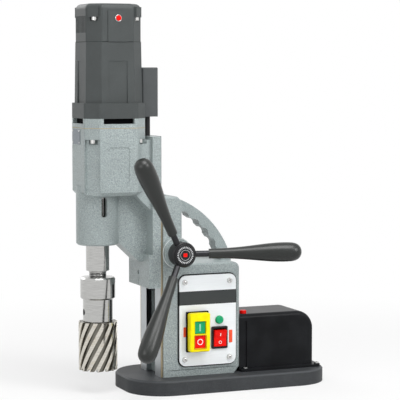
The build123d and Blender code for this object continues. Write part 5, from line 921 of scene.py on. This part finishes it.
@dataclass
class ControlPanel(SubAssembly):
    """Panel plate, start and stop switch, vacuum lamp and rocker."""

    body: str = "stand"
    band_low: float = 0.1117
    band_high: float = 0.1295
    screw_pitch_x: float = 0.0625
    screw_pitch_z: float = 0.1
    screw_shift: float = -0.001
    screw_radius: float = 0.0036
    screw_height: float = 0.0026
    mark_depth: float = 0.00025
    bar_size: Point2 = (0.0020, 0.0092)
    bar_corner: float = 0.0006
    ring_radius: float = 0.0039
    ring_width: float = 0.0009
    rocker_lean: float = 7.0
    rocker_half: float = 0.0104
    rocker_front: float = 0.0070
    rocker_dip: float = 0.0014
    rocker_mark_rise: float = 0.0052
    rocker_bar: tuple[float, float, float] = (0.0010, 0.0040, 0.0003)
    rocker_ring: Point2 = (0.0021, 0.0006)
    bezel_width: float = 0.0012
    bezel_gap: float = 0.0004
    bezel_depth: float = 0.0009
    bezel_edge: float = 0.0003
    label_right: tuple[Point2, Point2] = ((-0.0030, 0.0681), (0.0046, 0.0165))
    label_left: tuple[Point2, Point2] = ((-0.0672, 0.0769), (0.0040, 0.0128))
    label_corner: float = 0.0004
    label_depth: float = 0.0003

    def build(self) -> None:
        """Builds the panel's fittings."""
        FINISHES["panel"] = PrintedPlate("panel_print", self.band_low, self.band_high)
        dress({"panel_plate": "panel", "panel_gasket": "rubber", "switch_body": "black_and_shade",
               "switch_surround": "yellow", "start_button": "green", "stop_button": "red",
               "vacuum_lamp": "green", "rocker_housing": "black", "rocker": "red",
               "control_board": "board"})
        self._screws()
        self._marks()
        self._rocker_marks()
        self._bezels()
        self._labels()

    def _screws(self) -> None:
        """Sets the four domed panel screws."""
        low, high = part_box("panel_plate")
        centre = (low + high) / 2
        points = [(centre.x + self.screw_shift + sx * self.screw_pitch_x / 2, low.y,
                   centre.z + sz * self.screw_pitch_z / 2) for sx in (-1, 1) for sz in (-1, 1)]
        mesh = self.patterns.screws.run(points, "bright", Facing=OPERATOR, Radius=self.screw_radius,
                                        Height=self.screw_height)
        join("panel_screw_heads", mesh, None, self.body)

    def _marks(self) -> None:
        """Raises the bar on the start button and the ring on the stop button."""
        place = facing(near_face("start_button"), OPERATOR)
        mesh = prism(rounded(*self.bar_size, self.bar_corner), self.mark_depth, place)
        join("start_mark", mesh, "mint", "start_button")
        mesh = self._ring(self.ring_radius, self.ring_width, facing(near_face("stop_button"), OPERATOR))
        join("stop_mark", mesh, "white", "stop_button")

    def _ring(self, radius: float, width: float, place: Matrix) -> bpy.types.Mesh:
        """Makes a flat ring.

        Args:
            radius: Its outer radius.
            width: The width of its band.
            place: Where the local axes lie.

        Returns:
            The mesh.
        """
        return lathe(hoop(radius - width, radius, self.mark_depth), place, 40)

    def _rocker_marks(self) -> None:
        """Sets the bar and the ring on the rocker's two sloping faces."""
        joint = next(j for j in frame["joints"] if j["name"] == "rocker_tilt")
        pivot = Vector(joint["pos_m"])
        turn = Matrix.Rotation(math.radians(self.rocker_lean), 4, "X")
        slope = math.atan2(self.rocker_dip, self.rocker_half)
        for label, side in (("on", 1), ("off", -1)):
            forward = self.rocker_front + self.rocker_dip * self.rocker_mark_rise / self.rocker_half
            base = pivot + turn @ Vector((0, -forward, side * self.rocker_mark_rise))
            normal = turn @ Vector((0, -math.cos(slope), -side * math.sin(slope)))
            place = facing(base, normal)
            if label == "on":
                mesh = prism(rounded(*self.rocker_bar), self.mark_depth, place)
            else:
                mesh = self._ring(*self.rocker_ring, place)
            join(f"rocker_mark_{label}", mesh, "white", "rocker")

    def _bezels(self) -> None:
        """Frames the two push buttons on the switch's face."""
        face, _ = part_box("switch_surround")
        for button, name, finish_name in (("start_button", "start_bezel", "yellow"),
                                          ("stop_button", "stop_bezel", "amber")):
            low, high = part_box(button)
            width, height = high.x - low.x, high.z - low.z
            place = facing(((low.x + high.x) / 2, face.y, (low.z + high.z) / 2), OPERATOR)
            grow, gap = 2 * self.bezel_width, 2 * self.bezel_gap
            mesh = prism(rounded(width + grow, height + grow, self.bezel_width), self.bezel_depth, place,
                         rounded(width + gap, height + gap, self.bezel_gap), self.bezel_edge)
            join(name, mesh, finish_name, self.body)

    def _labels(self) -> None:
        """Sets the two plain labels beside the switches."""
        low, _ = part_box("panel_plate")
        for side, ((x, z), size) in (("right", self.label_right), ("left", self.label_left)):
            place = facing((x, low.y, z), OPERATOR)
            mesh = prism(rounded(*size, self.label_corner), self.label_depth, place)
            join(f"label_{side}", mesh, "orange", self.body)


@dataclass
class VacuumPump(SubAssembly):
    """Black pump cover with its screws, release button and hidden pump."""

    body: str = "stand"
    screw_radius: float = 0.0036
    screw_height: float = 0.0026
    screw_half_y: float = 0.0388
    screw_inset_front: float = 0.007
    screw_inset_rear: float = 0.005
    flange_thick: float = 0.0035

    def build(self) -> None:
        """Builds the cover's fittings."""
        dress({"pump_cover": "cover", "pump_bracket": "black", "pump_motor": "iron",
               "pump_head": "black", "vacuum_pipe": "bright", "release_valve": "black",
               "release_button": "red"})
        low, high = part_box("pump_cover")
        top = low.z + self.flange_thick
        points = [(x, y, top) for x in (low.x + self.screw_inset_front, high.x - self.screw_inset_rear)
                  for y in (-self.screw_half_y, self.screw_half_y)]
        mesh = self.patterns.screws.run(points, "blackened", Radius=self.screw_radius,
                                        Height=self.screw_height)
        join("cover_screw_heads", mesh, None, self.body)


@dataclass
class Feed(SubAssembly):
    """Hub, printed cap and three bulb-ended arms."""

    body: str = "feed"
    tick_count: int = 30
    tick_radius: float = 0.0098
    dial_radius: float = 0.0066
    dial_width: float = 0.0003
    dial_depth: float = 0.0002
    mark_outline: tuple[float, float, float] = (0.0052, 0.0046, 0.0008)
    mark_depth: float = 0.0004
    mark_edge: float = 0.0001

    def build(self) -> None:
        """Builds the hub's fittings."""
        dress({"feed_shaft": "turned", "feed_pinion": "iron", "feed_hub": "black",
               "hub_cap": "black", "arm_rods": "blackened", "arm_grips": "grip"})
        place = facing(near_face("hub_cap"), OPERATOR)
        turns = [2 * math.pi * i / self.tick_count for i in range(self.tick_count)]
        points = [(self.tick_radius * math.cos(t), self.tick_radius * math.sin(t), 0) for t in turns]
        mesh = self.patterns.ticks.run(points, "dial")
        mesh.transform(place)
        join("hub_ticks", mesh, None, self.body)
        mesh = lathe(hoop(self.dial_radius - self.dial_width, self.dial_radius, self.dial_depth), place)
        join("hub_dial_ring", mesh, "dial", self.body)
        mesh = prism(rounded(*self.mark_outline), self.mark_depth, place, edge=self.mark_edge)
        join("hub_mark", mesh, "red", self.body)


@dataclass
class DrillHead(SubAssembly):
    """Head casting, gearbox cover, rating plate, guard and slide."""

    body: str = "head"
    # Painted shade: the black ring seen through the cover's gaps.
    gap_shade_half: float = 0.0359
    gap_shade_wall: float = 0.0016
    gap_shade_height: float = 0.0068
    gap_shade_corner: float = 0.0171
    gap_shade_inner_corner: float = 0.0163
    rivet_inset: float = 0.0022
    rivet_radius: float = 0.0011
    rivet_height: float = 0.0006
    rivet_dimple: float = 0.0001

    def build(self) -> None:
        """Builds the head's fittings."""
        dress({"head_casting": "enamel", "feed_rack": "iron", "nose_seal": "rubber",
               "bearings": "turned", "gearbox_gasket": "tan", "gear_cover": "enamel",
               "head_screws": "bright", "rating_plate": "nameplate", "cable_guard": "guard",
               "guard_tube": "black"})
        self._gap_shade()
        self._plate()

    def _gap_shade(self) -> None:
        """Builds painted shade: a black ring just inside the cover's gaps, standing in for the shade of the
        interior seen through them.
        """
        low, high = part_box("gear_cover")
        place = Matrix.Translation(((low.x + high.x) / 2, 0, high.z - self.gap_shade_height))
        inner = self.gap_shade_half - self.gap_shade_wall
        mesh = prism(cut_square(self.gap_shade_half, self.gap_shade_corner), self.gap_shade_height, place,
                     cut_square(inner, self.gap_shade_inner_corner))
        join("gap_shade_ring", mesh, "black_and_shade", self.body)

    def _plate(self) -> None:
        """Sets the rivets of the bare rating plate."""
        low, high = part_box("rating_plate")
        points = [(low.x, y, z) for y in (low.y + self.rivet_inset, high.y - self.rivet_inset)
                  for z in (low.z + self.rivet_inset, high.z - self.rivet_inset)]
        mesh = self.patterns.screws.run(points, "bright", Facing=FRONT, Radius=self.rivet_radius,
                                        Height=self.rivet_height, Socket=self.rivet_dimple)
        join("plate_rivets", mesh, None, self.body)


@dataclass
class Motor(SubAssembly):
    """Motor housing, vented cap, overload lamp and running gear."""

    body: str = "head"
    rim_width: float = 0.0009
    rim_sink: float = 0.0014
    rim_back: float = 0.0009
    rim_shoulder: float = 0.0003
    rim_crown: Point2 = (0.0004, 0.0008)
    rim_lip: float = 0.0006
    seam_half: float = 0.03682
    seam_corner: float = 0.0160
    seam_wall: float = 0.002
    seam_inner_corner: float = 0.0152
    seam_height: float = 0.0006
    slot_count: int = 8
    slot_pitch: float = 0.005
    slot_rise: float = 0.022
    # Painted shade: black bars inside the vent slots.
    shade_bar_inset: float = 0.0011
    shade_bar_size: tuple[float, float, float] = (0.0006, 0.0023, 0.0208)

    def build(self) -> None:
        """Builds the motor's fittings."""
        dress({"motor_housing": "motor", "motor_cap": "motor", "overload_lamp": "red",
               "stator": "iron", "bearing_bridge": "black", "brushes": "carbon",
               "armature_shaft": "turned", "armature_core": "iron", "cooling_fan": "black",
               "layshaft": "turned", "layshaft_gear": "iron"})
        self._rim()
        self._seam()
        self._vent_shade()

    def _rim(self) -> None:
        """Builds the bright rim round the overload lamp."""
        low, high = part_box("overload_lamp")
        radius = (high.x - low.x) / 2
        place = facing(near_face("overload_lamp") + Vector((0, self.rim_sink, 0)), OPERATOR)
        outer = radius + self.rim_width
        profile = [(radius, -self.rim_back), (outer, -self.rim_back), (outer, self.rim_shoulder),
                   (radius + self.rim_crown[0], self.rim_crown[1]), (radius, self.rim_lip)]
        join("lamp_rim", lathe(profile, place), "bright", self.body)

    def _seam(self) -> None:
        """Builds the dark joint between housing and cap."""
        low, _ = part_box("motor_cap")
        place = Matrix.Translation((near_face("gearbox_gasket").x, 0, low.z - self.seam_height / 2))
        mesh = prism(cut_square(self.seam_half, self.seam_corner), self.seam_height, place,
                     cut_square(self.seam_half - self.seam_wall, self.seam_inner_corner))
        join("cap_seam", mesh, "black_and_shade", self.body)

    def _vent_shade(self) -> None:
        """Builds painted shade: black bars set just inside the vent slots, front and rear, standing in for
        the shade within them.
        """
        low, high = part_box("motor_cap")
        middle = (self.slot_count - 1) / 2
        rows = [(slot - middle) * self.slot_pitch for slot in range(self.slot_count)]
        for name, x, way in (("front", low.x, 1), ("rear", high.x, -1)):
            points = [(x + way * self.shade_bar_inset, y, low.z + self.slot_rise) for y in rows]
            mesh = self.patterns.bars.run(points, "black_and_shade", Size=self.shade_bar_size)
            join(f"vent_shade_{name}", mesh, None, self.body)


@dataclass
class SpindleSet(SubAssembly):
    """Spindle, arbor, annular cutter and the threaded neck."""

    body: str = "spindle"
    thread_turns: int = 3
    thread_pitch: float = 0.0021
    thread_radius: float = 0.0108
    thread_wire: float = 0.0005
    thread_drop: float = 0.0018
    # Painted shade: a dark sleeve round the neck between spindle and collar.
    neck_shade_height: float = 0.0066
    neck_shade_wall: float = 0.0009
    neck_shade_drop: float = 0.0004

    def build(self) -> None:
        """Builds the spindle's fittings."""
        low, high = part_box("cutter")
        axis_x = (low.x + high.x) / 2
        FINISHES["cutter"] = CutterSteel("cutter_steel", axis_x, (high.x - low.x) / 2)
        dress({"spindle": "turned", "spindle_gear": "iron", "arbor": "turned",
               "arbor_collar": "turned", "set_screws": "blackened", "cutter": "cutter",
               "pilot_spring": "bright", "pilot_pin": "turned"})
        spindle_low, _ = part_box("spindle")
        # Painted shade: the dark sleeve stands where shade falls in the gap between spindle and collar.
        place = Matrix.Translation((axis_x, 0, spindle_low.z - self.neck_shade_height - self.neck_shade_drop))
        profile = hoop(self.thread_radius - self.neck_shade_wall, self.thread_radius, self.neck_shade_height)
        join("neck_shade_sleeve", lathe(profile, place), "blackened", self.body)
        top = spindle_low.z - self.thread_drop
        points = [(axis_x, 0, top - self.thread_pitch * i) for i in range(self.thread_turns)]
        mesh = self.patterns.rings.run(points, "turned", Radius=self.thread_radius,
                                       Wire=self.thread_wire)
        join("neck_thread", mesh, None, self.body)


# ------------------------------------------------------------------ studio


@dataclass
class Studio:
    """Camera, lamps, pale floor and backdrop."""

    camera_place: tuple[float, float, float] = (-0.8521, -1.9960, 0.4156)
    camera_aim: tuple[float, float, float] = (0.38027, 0.92145, -0.07947)
    lens: float = 148.5
    sensor: float = 36.0
    lamp_aim: tuple[float, float, float] = (0.0, 0.0, 0.25)
    boxes: tuple[tuple[str, tuple[float, float, float], float, float], ...] = (
        ("key", (1.1, -1.9, 1.4), 1.0, 24.0), ("fill", (-1.9, -1.2, 0.9), 1.2, 10.0),
        ("rim", (-0.6, 1.9, 1.3), 1.2, 14.0), ("top", (-0.1, -0.9, 2.1), 1.3, 34.0))
    floor_level: float = -0.0002
    floor_radius: float = 4.0
    clear_radius: float = 0.9

    def build(self) -> None:
        """Builds the whole studio."""
        self._camera()
        self._lamps()
        self._floor()
        self._world()

    def _camera(self) -> None:
        """Places the camera and makes it the scene's."""
        data = bpy.data.cameras.new("camera")
        data.lens = self.lens
        data.sensor_width = self.sensor
        data.clip_end = 50.0
        camera = link("camera", data)
        camera.location = self.camera_place
        camera.rotation_euler = Vector(self.camera_aim).to_track_quat("-Z", "Y").to_euler()
        bpy.context.scene.camera = camera

    def _lamps(self) -> None:
        """Hangs the soft boxes round the object."""
        for name, place, size, power in self.boxes:
            data = bpy.data.lights.new(name, "AREA")
            data.shape = "SQUARE"
            data.size = size
            data.energy = power
            lamp = link(name, data)
            lamp.location = place
            aim = Vector(self.lamp_aim) - Vector(place)
            lamp.rotation_euler = aim.to_track_quat("-Z", "Y").to_euler()

    def _floor(self) -> None:
        """Lays the pale floor, which keeps the object's shadow."""
        paint = Paint("pale_floor")
        x, y, _ = paint.axes()
        reach = (x * x + y * y) ** 0.5
        seen = self._seen(paint)
        lit = paint.node("ShaderNodeBsdfDiffuse", None, {"Color": srgb(232, 232, 232)})
        glow = paint.node("ShaderNodeEmission", None, {"Color": (1, 1, 1, 1), "Strength": 1.0})
        share = seen * (0.62 + reach.ramp(0.3, self.clear_radius) * 0.38)
        paint.node_output(paint.node("ShaderNodeMixShader", None, {0: share, 1: lit, 2: glow}))
        made = bmesh.new()
        bmesh.ops.create_circle(made, cap_ends=True, segments=64, radius=self.floor_radius)
        mesh = write(made, "floor")
        mesh.materials.append(paint.material)
        floor = link("floor", mesh)
        floor.location.z = self.floor_level

    @staticmethod
    def _seen(wiring: Wiring) -> Wire:
        """Returns 1 for camera, mirror and glass rays, and 0 for the light on the object."""
        path = wiring.node("ShaderNodeLightPath").socket.node
        rays = [Wire(wiring, path.outputs[f"Is {kind} Ray"]) for kind in ("Camera", "Glossy", "Transmission")]
        return (rays[0] + rays[1] + rays[2]).above(0.5)

    def _world(self) -> None:
        """Sets the white backdrop and the soft light round the object."""
        world = bpy.data.worlds.new("studio")
        world.use_nodes = True
        bpy.context.scene.world = world
        wiring = Wiring(world.node_tree)
        wiring.tree.nodes.clear()
        seen = self._seen(wiring)
        soft = wiring.node("ShaderNodeBackground", None, {"Color": (1, 1, 1, 1), "Strength": 0.3})
        white = wiring.node("ShaderNodeBackground", None, {"Color": (1, 1, 1, 1), "Strength": 1.0})
        both = wiring.node("ShaderNodeMixShader", None, {0: seen, 1: soft, 2: white})
        out = wiring.tree.nodes.new("ShaderNodeOutputWorld")
        wiring.tree.links.new(both.socket, out.inputs["Surface"])
        bpy.context.scene.view_settings.view_transform = "Standard"


def main() -> None:
    """Builds the sub-assemblies in order, then the studio."""
    logging.basicConfig(level=logging.INFO, format="%(name)s: %(message)s")
    patterns = Patterns(screw_pattern(), tick_pattern(), bar_pattern(), ring_pattern())
    for part in (Stand, ControlPanel, VacuumPump, Feed, DrillHead, Motor, SpindleSet):
        log.info("building %s", part.__name__)
        part(patterns).build()
    Studio().build()


if __name__ == "__main__":
    main()
